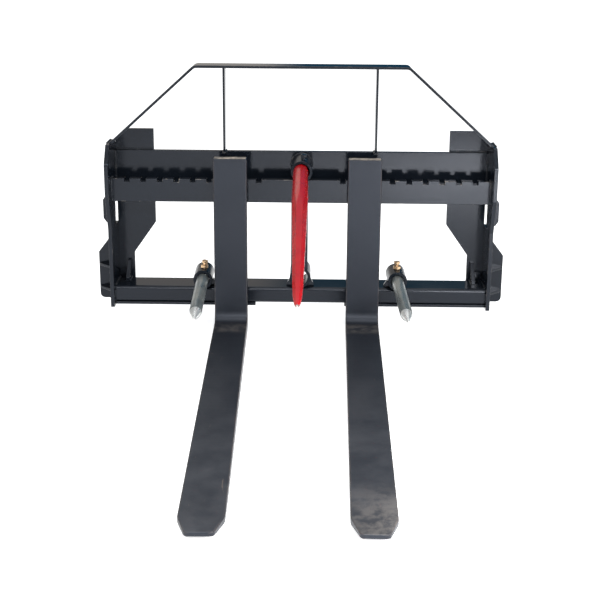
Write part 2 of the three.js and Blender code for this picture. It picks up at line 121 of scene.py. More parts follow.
# ---------------------------------------------------------------- finishes
class ShaderTree:
    """The node tree of one procedural material, read in object coordinates."""

    def __init__(self, name: str) -> None:
        """Starts a material with a Principled surface.

        Args:
            name: name of the new material.
        """
        self.material = bpy.data.materials.new(name)
        self.material.use_nodes = True
        self.nodes = self.material.node_tree.nodes
        self.links = self.material.node_tree.links
        self.nodes.clear()
        output = self.nodes.new("ShaderNodeOutputMaterial")
        self.surface = self.nodes.new("ShaderNodeBsdfPrincipled")
        self.links.new(self.surface.outputs["BSDF"], output.inputs["Surface"])
        self.place = self.nodes.new("ShaderNodeTexCoord").outputs["Object"]
        self.parts = self.nodes.new("ShaderNodeSeparateXYZ")
        self.links.new(self.place, self.parts.inputs["Vector"])

    def _feed(self, socket: bpy.types.NodeSocket, value: Input) -> None:
        """Links a socket, or sets its value.

        Args:
            socket: input socket to feed.
            value: value or socket that feeds it.
        """
        if isinstance(value, bpy.types.NodeSocket):
            self.links.new(value, socket)
        elif isinstance(value, tuple):
            socket.default_value = (*value, 1.0)
        else:
            socket.default_value = value

    def set(self, name: str, value: Input) -> None:
        """Feeds one input of the surface.

        Args:
            name: name of the input.
            value: value or socket that feeds it.
        """
        self._feed(self.surface.inputs[name], value)

    def noise(
        self,
        scale: float,
        detail: float = 3.0,
        roughness: float = 0.55,
        stretch: tuple[float, float, float] = (1.0, 1.0, 1.0),
        distortion: float = 0.0,
    ) -> bpy.types.NodeSocket:
        """Adds a noise pattern.

        Args:
            scale: features for each metre.
            detail: octaves of finer noise.
            roughness: strength of the finer octaves.
            stretch: frequency along each axis, for streaks.
            distortion: warp of the pattern.

        Returns:
            The noise factor, about 0.3 to 0.7.
        """
        mapping = self.nodes.new("ShaderNodeMapping")
        mapping.inputs["Scale"].default_value = stretch
        self.links.new(self.place, mapping.inputs["Vector"])
        node = self.nodes.new("ShaderNodeTexNoise")
        node.inputs["Scale"].default_value = scale
        node.inputs["Detail"].default_value = detail
        node.inputs["Roughness"].default_value = roughness
        node.inputs["Distortion"].default_value = distortion
        self.links.new(mapping.outputs["Vector"], node.inputs["Vector"])
        return node.outputs["Fac"]

    def band(
        self, value: Input, low: float, high: float, to: tuple[float, float] = (0.0, 1.0)
    ) -> bpy.types.NodeSocket:
        """Maps low..high of a value to a range, smoothly and clamped.

        Args:
            value: the value to map.
            low: where the first end is reached.
            high: where the second end is reached.
            to: the two ends.

        Returns:
            The mapped value.
        """
        node = self.nodes.new("ShaderNodeMapRange")
        node.interpolation_type = "SMOOTHSTEP"
        self._feed(node.inputs["Value"], value)
        node.inputs["From Min"].default_value = low
        node.inputs["From Max"].default_value = high
        node.inputs["To Min"].default_value, node.inputs["To Max"].default_value = to
        return node.outputs["Result"]

    def maths(self, operation: str, one: Input, other: Input = 0.0) -> bpy.types.NodeSocket:
        """Adds a Math node of two values.

        Args:
            operation: the Math node's operation.
            one: first value or socket.
            other: second value or socket.

        Returns:
            The node's result.
        """
        node = self.nodes.new("ShaderNodeMath")
        node.operation = operation
        self._feed(node.inputs[0], one)
        self._feed(node.inputs[1], other)
        return node.outputs["Value"]

    def blend(self, factor: Input, one: Input, other: Input) -> bpy.types.NodeSocket:
        """Mixes two colours by a factor.

        Args:
            factor: how much of the second, 0 to 1.
            one: colour at factor 0.
            other: colour at factor 1.

        Returns:
            The mixed colour.
        """
        node = self.nodes.new("ShaderNodeMix")
        node.data_type = "RGBA"
        self._feed(node.inputs[0], factor)
        self._feed(node.inputs[6], one)
        self._feed(node.inputs[7], other)
        return node.outputs[2]

    def relief(self, height: Input, distance: float) -> None:
        """Dents the surface by a height pattern.

        Args:
            height: height pattern.
            distance: depth of the dents, in metres.
        """
        node = self.nodes.new("ShaderNodeBump")
        node.inputs["Distance"].default_value = distance
        self._feed(node.inputs["Height"], height)
        self.set("Normal", node.outputs["Normal"])

    def facing_up(self) -> bpy.types.NodeSocket:
        """How far the surface faces upwards, 0 to 1.

        Returns:
            The factor.
        """
        geometry = self.nodes.new("ShaderNodeNewGeometry")
        parts = self.nodes.new("ShaderNodeSeparateXYZ")
        self.links.new(geometry.outputs["Normal"], parts.inputs["Vector"])
        return self.band(parts.outputs["Z"], 0.4, 1.0)


@dataclass(frozen=True)
class Finish:
    """A surface finish, made into a material once."""

    name: str

    def material(self) -> bpy.types.Material:
        """The finish as a material, built on first use.

        Returns:
            The material.
        """
        found = bpy.data.materials.get(self.name)
        return found or self.build(ShaderTree(self.name))

    def build(self, tree: ShaderTree) -> bpy.types.Material:
        """Wires the finish; each kind of finish has its own.

        Args:
            tree: node tree to wire.

        Returns:
            The wired material.
        """
        raise NotImplementedError(f"{self.name}: {tree.material.name}")


@dataclass(frozen=True)
class Enamel(Finish):
    """Sprayed enamel over welded steel: orange peel, dust on top faces and rubbed edges."""

    colour: Colour = (0.0045, 0.0062, 0.0092)
    dust_colour: Colour = (0.13, 0.125, 0.12)
    bare_colour: Colour = (0.30, 0.27, 0.24)
    roughness: float = 0.11
    gloss: float = 0.25
    tint: Colour = (0.86, 0.90, 1.0)
    dust: float = 0.05
    wear: float = 0.0

    def build(self, tree: ShaderTree) -> bpy.types.Material:
        """Wires enamel, then dust, then bare spots.

        Args:
            tree: node tree to wire.

        Returns:
            What was built.
        """
        cloud = tree.noise(6.0, 4.0)
        speck = tree.noise(90.0, 3.0, 0.7)
        dust = tree.maths("MULTIPLY", tree.facing_up(), tree.band(cloud, 0.42, 0.68))
        dust = tree.maths("MULTIPLY", dust, self.dust)
        dust = tree.maths("ADD", dust, tree.band(speck, 0.66, 0.82, (0.0, self.dust * 0.5)))
        rubbed = tree.band(tree.noise(38.0, 5.0, 0.75), 0.50, 0.66, (0.0, self.wear))
        coated = tree.blend(dust, self.colour, self.dust_colour)
        tree.set("Base Color", tree.blend(rubbed, coated, self.bare_colour))
        rough = tree.band(cloud, 0.3, 0.7, (self.roughness - 0.03, self.roughness + 0.06))
        tree.set("Roughness", tree.maths("ADD", rough, tree.maths("MULTIPLY", rubbed, 0.2)))
        tree.set("Specular IOR Level", self.gloss)
        tree.set("Specular Tint", self.tint)
        tree.relief(tree.noise(260.0, 2.0), 0.00006)
        return tree.material


@dataclass(frozen=True)
class ForgedEnamel(Finish):
    """Thin enamel over a forged bar: cross marks, scuffs and dust that grows to the tip."""

    colour: Colour = (0.0074, 0.0090, 0.0125)
    dust_colour: Colour = (0.120, 0.122, 0.130)
    soil_colour: Colour = (0.16, 0.145, 0.13)
    bare_colour: Colour = (0.16, 0.12, 0.095)
    roughness: float = 0.40
    gloss: float = 0.34
    tint: Colour = (0.80, 0.86, 1.0)
    heel: float = 0.47
    tip: float = -0.70
    soil: float = 0.55
    root: float = 0.045
    wear: float = 0.0

    def build(self, tree: ShaderTree) -> bpy.types.Material:
        """Wires enamel, cross marks, dust along the blade and scuffs.

        Args:
            tree: node tree to wire.

        Returns:
            What was built.
        """
        along = tree.parts.outputs["Y"]
        low = tree.band(tree.parts.outputs["Z"], 0.03, 0.09, (1.0, 0.0))
        travelled = tree.band(along, self.heel, self.tip)
        cloud = tree.noise(9.0, 5.0, 0.6)
        marks = tree.noise(1.0, 3.0, 0.6, stretch=(7.0, 160.0, 10.0))
        dust = tree.maths("MULTIPLY", travelled, tree.band(cloud, 0.3, 0.72, (0.05, 0.24)))
        mottle = tree.band(tree.noise(24.0, 5.0, 0.7), 0.40, 0.60, (0.15, 1.0))
        soiled = tree.maths("MULTIPLY", tree.band(along, self.tip + 0.24, self.tip + 0.04), mottle)
        heap = tree.maths("MULTIPLY", soiled, tree.band(tree.parts.outputs["X"], 0.0, 0.3, (0.03, self.soil)))
        heap = tree.maths("MULTIPLY", tree.facing_up(), heap)
        off = tree.maths("SUBTRACT", along, self.heel - self.root)
        root = tree.band(tree.maths("ABSOLUTE", off), 0.05, 0.012)
        smear = tree.band(tree.noise(34.0, 4.0, 0.65), 0.38, 0.62, (0.02, 0.30))
        root = tree.maths("MULTIPLY", tree.maths("MULTIPLY", root, low), smear)
        covered = tree.maths("MULTIPLY", tree.facing_up(), dust)
        covered = tree.maths("MULTIPLY", covered, tree.band(marks, 0.32, 0.7, (0.94, 1.05)))
        scuff = tree.noise(2.2, 5.0, 0.75, stretch=(26.0, 5.0, 5.0), distortion=0.8)
        scuff = tree.maths("MULTIPLY", tree.band(scuff, 0.66, 0.73, (0.0, 0.35)), tree.facing_up())
        rubbed = tree.band(tree.noise(30.0, 5.0, 0.75), 0.40, 0.64, (self.wear * 0.2, self.wear))
        bare = tree.maths("MAXIMUM", rubbed, scuff)
        coated = tree.blend(covered, self.colour, self.dust_colour)
        coated = tree.blend(tree.maths("MAXIMUM", root, heap), coated, self.soil_colour)
        tree.set("Base Color", tree.blend(bare, coated, self.bare_colour))
        tree.set("Specular IOR Level", self.gloss)
        tree.set("Specular Tint", self.tint)
        rough = tree.band(marks, 0.3, 0.7, (self.roughness - 0.01, self.roughness + 0.02))
        tree.set("Roughness", tree.maths("ADD", rough, tree.maths("MULTIPLY", covered, 0.5)))
        tree.relief(tree.noise(120.0, 4.0, 0.6), 0.00012)
        return tree.material


@dataclass(frozen=True)
class TippedPaint(Finish):
    """Paint on a bar whose point is bare ground steel."""

    colour: Colour = (0.36, 0.0045, 0.0058)
    shade: Colour = (0.30, 0.0040, 0.0064)
    bare_colour: Colour = (0.42, 0.36, 0.34)
    roughness: float = 0.19
    gloss: float = 0.24
    fleck: float = 0.0
    metal: float = 0.0
    point: float = 0.0
    ragged: float = 0.003

    def build(self, tree: ShaderTree) -> bpy.types.Material:
        """Wires paint with a bare point.

        Args:
            tree: node tree to wire.

        Returns:
            What was built.
        """
        cloud = tree.noise(14.0, 4.0)
        grain = tree.noise(1.0, 3.0, 0.6, stretch=(220.0, 14.0, 220.0))
        edge = tree.maths("ADD", tree.parts.outputs["Y"], tree.maths("MULTIPLY", cloud, self.ragged * 3))
        bare = tree.band(edge, self.point + self.ragged * 2, self.point)
        paint = tree.blend(tree.band(cloud, 0.32, 0.7), self.colour, self.shade)
        paint = tree.blend(tree.band(grain, 0.58, 0.72, (0.0, self.fleck)), paint, self.bare_colour)
        tree.set("Base Color", tree.blend(bare, paint, self.bare_colour))
        tree.set("Metallic", tree.maths("MAXIMUM", tree.maths("MULTIPLY", bare, 0.85), self.metal))
        tree.set("Roughness", tree.band(grain, 0.3, 0.7, (self.roughness - 0.04, self.roughness + 0.08)))
        tree.set("Specular IOR Level", self.gloss)
        tree.relief(tree.noise(60.0, 2.0), 0.00001)
        return tree.material


@dataclass(frozen=True)
class Plated(Finish):
    """Plated or bright turned steel with fine marks and dull patches."""

    colour: Colour = (0.66, 0.46, 0.27)
    dull_colour: Colour = (0.20, 0.13, 0.085)
    roughness: float = 0.34
    rings: float = 700.0

    def build(self, tree: ShaderTree) -> bpy.types.Material:
        """Wires plating with dull patches and turning marks.

        Args:
            tree: node tree to wire.

        Returns:
            What was built.
        """
        patch = tree.band(tree.noise(120.0, 4.0, 0.65), 0.42, 0.7)
        tree.set("Base Color", tree.blend(patch, self.colour, self.dull_colour))
        tree.set("Metallic", 0.85)
        tree.set("Roughness", tree.band(patch, 0.0, 1.0, (self.roughness, self.roughness + 0.2)))
        tree.relief(tree.noise(1.0, 2.0, 0.5, stretch=(40.0, 40.0, self.rings)), 0.00004)
        return tree.material


@dataclass(frozen=True)
class PaleFloor(Finish):
    """Plain pale floor."""

    colour: Colour = (0.86, 0.86, 0.86)
    glow: float = 0.62

    def build(self, tree: ShaderTree) -> bpy.types.Material:
        """Wires a matt floor with a faint unevenness.

        Args:
            tree: node tree to wire.

        Returns:
            What was built.
        """
        tone = tree.band(tree.noise(2.0, 2.0), 0.3, 0.7, (0.98, 1.0))
        tree.set("Base Color", tree.blend(tone, (0.82, 0.82, 0.82), self.colour))
        tree.set("Roughness", 0.9)
        tree.set("Specular IOR Level", 0.1)
        tree.set("Emission Color", (1.0, 1.0, 1.0))
        tree.set("Emission Strength", self.glow)
        return tree.material


ENAMEL = Enamel("gloss_black_enamel")
ENAMEL_EDGE = Enamel("gloss_black_enamel_edge", roughness=0.34, wear=0.16)
RAIL_EDGE = Enamel("rail_edge_enamel", roughness=0.36, wear=0.62)
BEAD = Enamel("weld_bead_enamel", colour=(0.008, 0.010, 0.013), roughness=0.34, dust=0.16, wear=0.14)
FORGED = ForgedEnamel("forged_bar_enamel")
FORGED_EDGE = ForgedEnamel("forged_bar_edge", roughness=0.44, wear=0.16)
# Shank's top face: painted highlight. Heavy rubbed wear in a pale tan bare colour stands for the lit top of
# the shank.
SHANK_TOP_HIGHLIGHT = ForgedEnamel("shank_top_dust", bare_colour=(0.42, 0.36, 0.29), roughness=0.55, wear=0.8)
SLEEVE = Enamel("sleeve_enamel", roughness=0.24, gloss=0.14)
YELLOW_ZINC = Plated("yellow_zinc")
TURNED_STEEL = Plated(
    "bright_turned_steel", colour=(0.55, 0.55, 0.56), dull_colour=(0.30, 0.30, 0.31), roughness=0.28
)
FLOOR = PaleFloor("pale_floor")


# ---------------------------------------------------------------- meshes
def to_plain_mesh(source: bpy.types.Object, name: str) -> bpy.types.Object:
    """Bakes an object's modifiers into a new plain mesh object and drops the source.

    Args:
        source: object whose modifiers are evaluated.
        name: name of the new object.

    Returns:
        The plain mesh object, at the origin.
    """
    evaluated = source.evaluated_get(bpy.context.evaluated_depsgraph_get())
    mesh = bpy.data.meshes.new_from_object(evaluated)
    old = source.data
    bpy.data.objects.remove(source)
    if old.users == 0:
        bpy.data.meshes.remove(old)
    mesh.name = name
    result = bpy.data.objects.new(name, mesh)
    bpy.context.scene.collection.objects.link(result)
    return result


def from_bmesh(name: str, bm: bmesh.types.BMesh, finishes: Sequence[Finish]) -> bpy.types.Object:
    """Puts a bmesh in the scene with its finishes, smooth shaded up to SMOOTH_ANGLE.

    Args:
        name: name of what is made or read.
        bm: the built mesh data, freed here.
        finishes: finishes of its material slots.

    Returns:
        The new object.
    """
    mesh = bpy.data.meshes.new(name)
    bm.to_mesh(mesh)
    bm.free()
    for finish in finishes:
        mesh.materials.append(finish.material())
    mesh.polygons.foreach_set("use_smooth", [True] * len(mesh.polygons))
    mesh.set_sharp_from_angle(angle=SMOOTH_ANGLE)
    made = bpy.data.objects.new(name, mesh)
    bpy.context.scene.collection.objects.link(made)
    return made


def even_normals(made: bpy.types.Object) -> None:
    """Keeps flat faces flat beside rounded corners.

    Args:
        made: object whose normals are set.
    """
    weighted = made.modifiers.new("normals", "WEIGHTED_NORMAL")
    weighted.keep_sharp = True
    weighted.weight = 100


def place_piece(
    made: bpy.types.Object, body: Body, nodes: Iterable[str] = ()
) -> bpy.types.Object:
    """Mounts a finished piece on its body.

    Args:
        made: the plain mesh object.
        body: the body it rides on.
        nodes: CAD nodes that it stands for.

    Returns:
        The same object.
    """
    for node in nodes:
        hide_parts(node)
    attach(made, body.value)
    LOG.info("%s: %d faces on %s", made.name, len(made.data.polygons), body.value)
    return made


@dataclass(frozen=True)
class Dressing:
    """How a plate cut from the part is dressed: its corners eased and its edges rubbed."""

    finish: Finish = ENAMEL
    edge: Finish = ENAMEL_EDGE
    ease: float = 1.2 * MM
    steps: int = 2

    def dress(self, node: str, body: Body) -> bpy.types.Object:
        """Builds the dressed copy of a CAD node.

        Args:
            node: name of the CAD node.
            body: body that the node belongs to.

        Returns:
            The dressed piece, which stands for the node.
        """
        bm = bmesh.new()
        bm.from_mesh(frame["nodes"][node].data)
        bmesh.ops.remove_doubles(bm, verts=bm.verts, dist=1e-5)
        bmesh.ops.dissolve_limit(
            bm, angle_limit=math.radians(0.4), verts=bm.verts, edges=bm.edges, use_dissolve_boundaries=False
        )
        for face in bm.faces:
            face.material_index = 0
        made = from_bmesh(f"{node}_blank", bm, (self.finish, self.edge))
        bevel = made.modifiers.new("eased_edges", "BEVEL")
        bevel.width = self.ease
        bevel.segments = self.steps
        bevel.limit_method = "ANGLE"
        bevel.angle_limit = math.radians(38)
        bevel.material = 1
        bevel.use_clamp_overlap = True
        even_normals(made)
        return place_piece(to_plain_mesh(made, f"{node}_dressed"), body, (node,))


def turned(
    name: str, profile: Sequence[tuple[float, float]], axis: Matrix, finishes: Sequence[Finish],
    segments: int = 96,
) -> bpy.types.Object:
    """Turns a profile about the local Y axis of a placing matrix.

    Args:
        name: name of the object.
        profile: (radius, distance along the axis) points; a radius of 0 closes an end, and a
            profile that ends where it starts makes a tube.
        axis: placing matrix.
        finishes: materials of the piece.
        segments: facets round the axis.

    Returns:
        The turned object, with its shading evened.
    """
    bm = bmesh.new()
    rings: list[list[bmesh.types.BMVert]] = []
    tube = profile[0] == profile[-1]
    for radius, along in profile[:-1] if tube else profile:
        if radius == 0:
            rings.append([bm.verts.new(axis @ Vector((0.0, along, 0.0)))])
            continue
        rings.append(
            [
                bm.verts.new(
                    axis @ Vector((radius * math.sin(turn), along, radius * math.cos(turn)))
                )
                for turn in (2 * math.pi * k / segments for k in range(segments))
            ]
        )
    pairs = list(zip(rings, rings[1:])) + ([(rings[-1], rings[0])] if tube else [])
    for one, other in pairs:
        for k in range(segments):
            corners = [one[k % len(one)], one[(k + 1) % len(one)]]
            corners += [other[(k + 1) % len(other)], other[k % len(other)]]
            bm.faces.new(list(dict.fromkeys(corners)))
    bmesh.ops.recalc_face_normals(bm, faces=bm.faces)
    made = from_bmesh(f"{name}_blank", bm, finishes)
    even_normals(made)
    return to_plain_mesh(made, name)


@dataclass(frozen=True)
class Station:
    """One section of a bar: points on its outer and inner face, and half of its width."""

    outer: Vector
    inner: Vector
    half: float
    inset: float = 0.0


@dataclass(frozen=True)
class Bar:
    """A flat bar run through stations, with round corners that have a finish of their own."""

    across: Vector
    corner: float
    steps: int = 4

    def section(self, station: Station) -> list[Vector]:
        """The closed section at a station.

        Args:
            station: place and size of the section.

        Returns:
            The section's points in order.
        """
        through = station.inner - station.outer
        deep = through.length
        through.normalize()
        points = []
        for k, (u, t) in enumerate(((1, 0), (1, 1), (-1, 1), (-1, 0))):
            round_ = max(self.corner - station.inset, self.corner * 0.15)
            keep = round_ + station.inset
            centre_t = keep if t == 0 else deep - keep
            for step in range(self.steps + 1):
                turn = math.pi / 2 * (k - 1 + step / self.steps)
                side = u * (station.half - keep) + round_ * math.cos(turn)
                points.append(
                    station.outer + self.across * side + through * (centre_t + round_ * math.sin(turn))
                )
        return points

    def build(self, name: str, stations: Sequence[Station], finishes: Sequence[Finish]) -> bpy.types.Object:
        """Lofts the stations into a closed bar.

        Args:
            name: name of the object.
            stations: sections in order.
            finishes: material of the flats, then of the corners and, if given, of the first end.

        Returns:
            The plain bar object.
        """
        bm = bmesh.new()
        rings = [[bm.verts.new(point) for point in self.section(s)] for s in stations]
        count = len(rings[0])
        for one, other in zip(rings, rings[1:]):
            for k in range(count):
                face = bm.faces.new((one[k], one[(k + 1) % count], other[(k + 1) % count], other[k]))
                face.material_index = 0 if k % (self.steps + 1) == self.steps else 1
        first = bm.faces.new(rings[0][::-1])
        first.material_index = min(2, len(finishes) - 1) if len(finishes) > 2 else 0
        bm.faces.new(rings[-1])
        bmesh.ops.recalc_face_normals(bm, faces=bm.faces)
        made = from_bmesh(f"{name}_blank", bm, finishes)
        even_normals(made)
        return to_plain_mesh(made, name)


def axis_frame(origin: Vector, direction: Vector) -> Matrix:
    """A placing matrix whose local Y runs along direction, from origin.

    Args:
        origin: where the frame stands.
        direction: unit vector for the local Y.

    Returns:
        The placing matrix.
    """
    along = direction.normalized()
    side = along.cross(UP).normalized()
    turn = Matrix((side, along, side.cross(along))).transposed()
    return Matrix.Translation(origin) @ turn.to_4x4()


def joint_axis(name: str) -> Vector:
    """The axis of one of the part's joints.

    Args:
        name: name of the joint.

    Returns:
        Unit vector of the axis.
    """
    return Vector(next(j["axis"] for j in frame["joints"] if j["name"] == name))


def middle(node: str) -> Vector:
    """The middle of a CAD node's box.

    Args:
        node: name of the CAD node.

    Returns:
        The middle point.
    """
    low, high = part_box(node)
    return (low + high) / 2


# ---------------------------------------------------------------- geometry node trees
class NodeTree:
    """A Geometry Nodes tree built by script, with named inputs."""

    def __init__(self, name: str, inputs: dict[str, str]) -> None:
        """Starts a tree.

        Args:
            name: name of the tree.
            inputs: socket type of each named input after the geometry.
        """
        self.tree = bpy.data.node_groups.new(name, "GeometryNodeTree")
        face = self.tree.interface
        face.new_socket("Geometry", in_out="INPUT", socket_type="NodeSocketGeometry")
        self.ids = {
            key: face.new_socket(key, in_out="INPUT", socket_type=kind).identifier
            for key, kind in inputs.items()
        }
        face.new_socket("Geometry", in_out="OUTPUT", socket_type="NodeSocketGeometry")
        self.given = self.tree.nodes.new("NodeGroupInput")
        self.result = self.tree.nodes.new("NodeGroupOutput")

    def add(self, kind: str, links: dict[str | int, Input], **settings: object) -> bpy.types.Node:
        """Adds a node.

        Args:
            kind: node type.
            links: value or socket for each input.
            settings: properties of the node.

        Returns:
            The new node.
        """
        node = self.tree.nodes.new(kind)
        for key, value in settings.items():
            setattr(node, key, value)
        for key, value in links.items():
            if isinstance(value, bpy.types.NodeSocket):
                self.tree.links.new(value, node.inputs[key])
            else:
                node.inputs[key].default_value = value
        return node

    def maths(self, operation: str, one: Input, other: Input = 0.0) -> bpy.types.NodeSocket:
        """Adds a Math node of two values.

        Args:
            operation: the Math node's operation.
            one: first value or socket.
            other: second value or socket.

        Returns:
            The node's result.
        """
        return self.add("ShaderNodeMath", {0: one, 1: other}, operation=operation).outputs[0]

    def close(self, geometry: bpy.types.NodeSocket) -> None:
        """Ends the tree: smooth shading, real geometry and the given material.

        Args:
            geometry: geometry socket to end with.
        """
        smooth = self.add("GeometryNodeSetShadeSmooth", {"Geometry": geometry})
        real = self.add("GeometryNodeRealizeInstances", {"Geometry": smooth.outputs[0]})
        done = self.add(
            "GeometryNodeSetMaterial",
            {"Geometry": real.outputs[0], "Material": self.given.outputs["Material"]},
        )
        self.tree.links.new(done.outputs[0], self.result.inputs[0])

    def grow(self, name: str, seed: bpy.types.Object, values: dict[str, object]) -> bpy.types.Object:
        """Runs the tree on a seed object.

        Args:
            name: name of the plain mesh object that comes out.
            seed: object that carries the paths or points.
            values: value of each named input.

        Returns:
            The plain mesh object.
        """
        modifier = seed.modifiers.new("grow", "NODES")
        modifier.node_group = self.tree
        for key, value in values.items():
            modifier[self.ids[key]] = value
        return to_plain_mesh(seed, name)


@dataclass(frozen=True)
class Seam:
    """A weld bead along a line of points."""

    points: tuple[Vector, ...]
    radius: float = 3.2 * MM
    closed: bool = False


def ring_seam(centre: Vector, one: Vector, other: Vector, bead: float = 3.0 * MM) -> Seam:
    """A closed round seam spanned by two radius vectors.

    Args:
        centre: centre of the ring.
        one: radius vector of the ring.
        other: radius vector square to the first.
        bead: radius of the bead.

    Returns:
        The closed seam.
    """
    turns = [2 * math.pi * k / 32 for k in range(32)]
    points = tuple(centre + one * math.cos(turn) + other * math.sin(turn) for turn in turns)
    return Seam(points, bead, True)


class BeadTree(NodeTree):
    """Weld beads: a rippled round section run along each path."""

    def __init__(self) -> None:
        """Builds the tree with its sizes as named inputs."""
        super().__init__(
            "weld_bead",
            {
                "Step": "NodeSocketFloat",
                "Ripple Pitch": "NodeSocketFloat",
                "Ripple Height": "NodeSocketFloat",
                "Unevenness": "NodeSocketFloat",
                "Sides": "NodeSocketInt",
                "Seed": "NodeSocketFloat",
                "Material": "NodeSocketMaterial",
            },
        )
        given = self.given.outputs
        path = self.add("GeometryNodeMeshToCurve", {"Mesh": given["Geometry"]})
        even = self.add(
            "GeometryNodeResampleCurve", {"Curve": path.outputs[0], "Length": given["Step"]}, mode="LENGTH"
        )
        length = self.add("GeometryNodeSplineParameter", {}).outputs["Length"]
        turns = self.maths("MULTIPLY", self.maths("DIVIDE", length, given["Ripple Pitch"]), 2 * math.pi)
        ripple = self.maths("MULTIPLY", self.maths("SINE", turns), given["Ripple Height"])
        noise = self.add(
            "ShaderNodeTexNoise", {"W": given["Seed"], "Scale": 70.0, "Detail": 2.0}, noise_dimensions="4D"
        )
        centred = self.maths("SUBTRACT", noise.outputs["Fac"], 0.5)
        uneven = self.maths("MULTIPLY", centred, given["Unevenness"])
        swell = self.maths("ADD", self.maths("ADD", ripple, uneven), 1.0)
        radius = self.add("GeometryNodeInputNamedAttribute", {"Name": "bead_radius"}, data_type="FLOAT")
        section = self.add("GeometryNodeCurvePrimitiveCircle", {"Resolution": given["Sides"], "Radius": 1.0})
        bead = self.add(
            "GeometryNodeCurveToMesh",
            {
                "Curve": even.outputs[0],
                "Profile Curve": section.outputs[0],
                "Scale": self.maths("MULTIPLY", radius.outputs[0], swell),
                "Fill Caps": True,
            },
        )
        self.close(bead.outputs[0])

    def lay(self, name: str, seams: Sequence[Seam], seed: float) -> bpy.types.Object:
        """Lays beads along seams.

        Args:
            name: name of the object.
            seams: the seams of one body.
            seed: seed of the unevenness.

        Returns:
            The beads as one plain mesh object.
        """
        points: list[Vector] = []
        edges: list[tuple[int, int]] = []
        radii: list[float] = []
        for seam in seams:
            start = len(points)
            points += seam.points
            radii += [seam.radius] * len(seam.points)
            edges += [(k, k + 1) for k in range(start, len(points) - 1)]
            if seam.closed:
                edges.append((len(points) - 1, start))
        mesh = bpy.data.meshes.new(f"{name}_paths")
        mesh.from_pydata(points, edges, [])
        mesh.attributes.new("bead_radius", "FLOAT", "POINT").data.foreach_set("value", radii)
        carrier = bpy.data.objects.new(f"{name}_paths", mesh)
        bpy.context.scene.collection.objects.link(carrier)
        values = {
            "Step": 1.6 * MM, "Ripple Pitch": 5.5 * MM, "Ripple Height": 0.10, "Unevenness": 0.7,
            "Sides": 8, "Seed": seed, "Material": BEAD.material(),
        }
        return self.grow(name, carrier, values)


class ThreadTree(NodeTree):
    """Screw threads: one coiled ridge set on each bolt."""

    def __init__(self) -> None:
        """Builds the tree with its sizes as named inputs."""
        super().__init__(
            "screw_thread",
            {
                "Radius": "NodeSocketFloat",
                "Pitch": "NodeSocketFloat",
                "Length": "NodeSocketFloat",
                "Ridge": "NodeSocketFloat",
                "Material": "NodeSocketMaterial",
            },
        )
        given = self.given.outputs
        coil = self.add(
            "GeometryNodeCurveSpiral",
            {
                "Resolution": 24,
                "Rotations": self.maths("DIVIDE", given["Length"], given["Pitch"]),
                "Start Radius": given["Radius"],
                "End Radius": given["Radius"],
                "Height": given["Length"],
            },
        )
        section = self.add("GeometryNodeCurvePrimitiveCircle", {"Resolution": 4, "Radius": 1.0})
        ridge = self.add(
            "GeometryNodeCurveToMesh",
            {
                "Curve": coil.outputs[0],
                "Profile Curve": section.outputs[0],
                "Scale": given["Ridge"],
                "Fill Caps": True,
            },
        )
        lean = self.add("GeometryNodeInputNamedAttribute", {"Name": "lean"}, data_type="FLOAT_VECTOR")
        placed = self.add(
            "GeometryNodeInstanceOnPoints",
            {"Points": given["Geometry"], "Instance": ridge.outputs[0], "Rotation": lean.outputs[0]},
        )
        self.close(placed.outputs[0])

    def cut(
        self, name: str, places: Sequence[tuple[Vector, Vector]], length: float, finish: Finish
    ) -> bpy.types.Object:
        """Sets threads on bolts.

        Args:
            name: name of the object.
            places: foot of each thread and its turn about X, Y and Z.
            length: length of each thread.
            finish: finish of the bolts.

        Returns:
            The threads as one plain mesh object.
        """
        mesh = bpy.data.meshes.new(f"{name}_feet")
        mesh.from_pydata([foot for foot, _ in places], [], [])
        leans = [value for _, lean in places for value in lean]
        mesh.attributes.new("lean", "FLOAT_VECTOR", "POINT").data.foreach_set("vector", leans)
        carrier = bpy.data.objects.new(f"{name}_feet", mesh)
        bpy.context.scene.collection.objects.link(carrier)
        values = {
            "Radius": 5.9 * MM, "Pitch": 1.75 * MM, "Length": length, "Ridge": 0.55 * MM,
            "Material": finish.material(),
        }
        return self.grow(name, carrier, values)


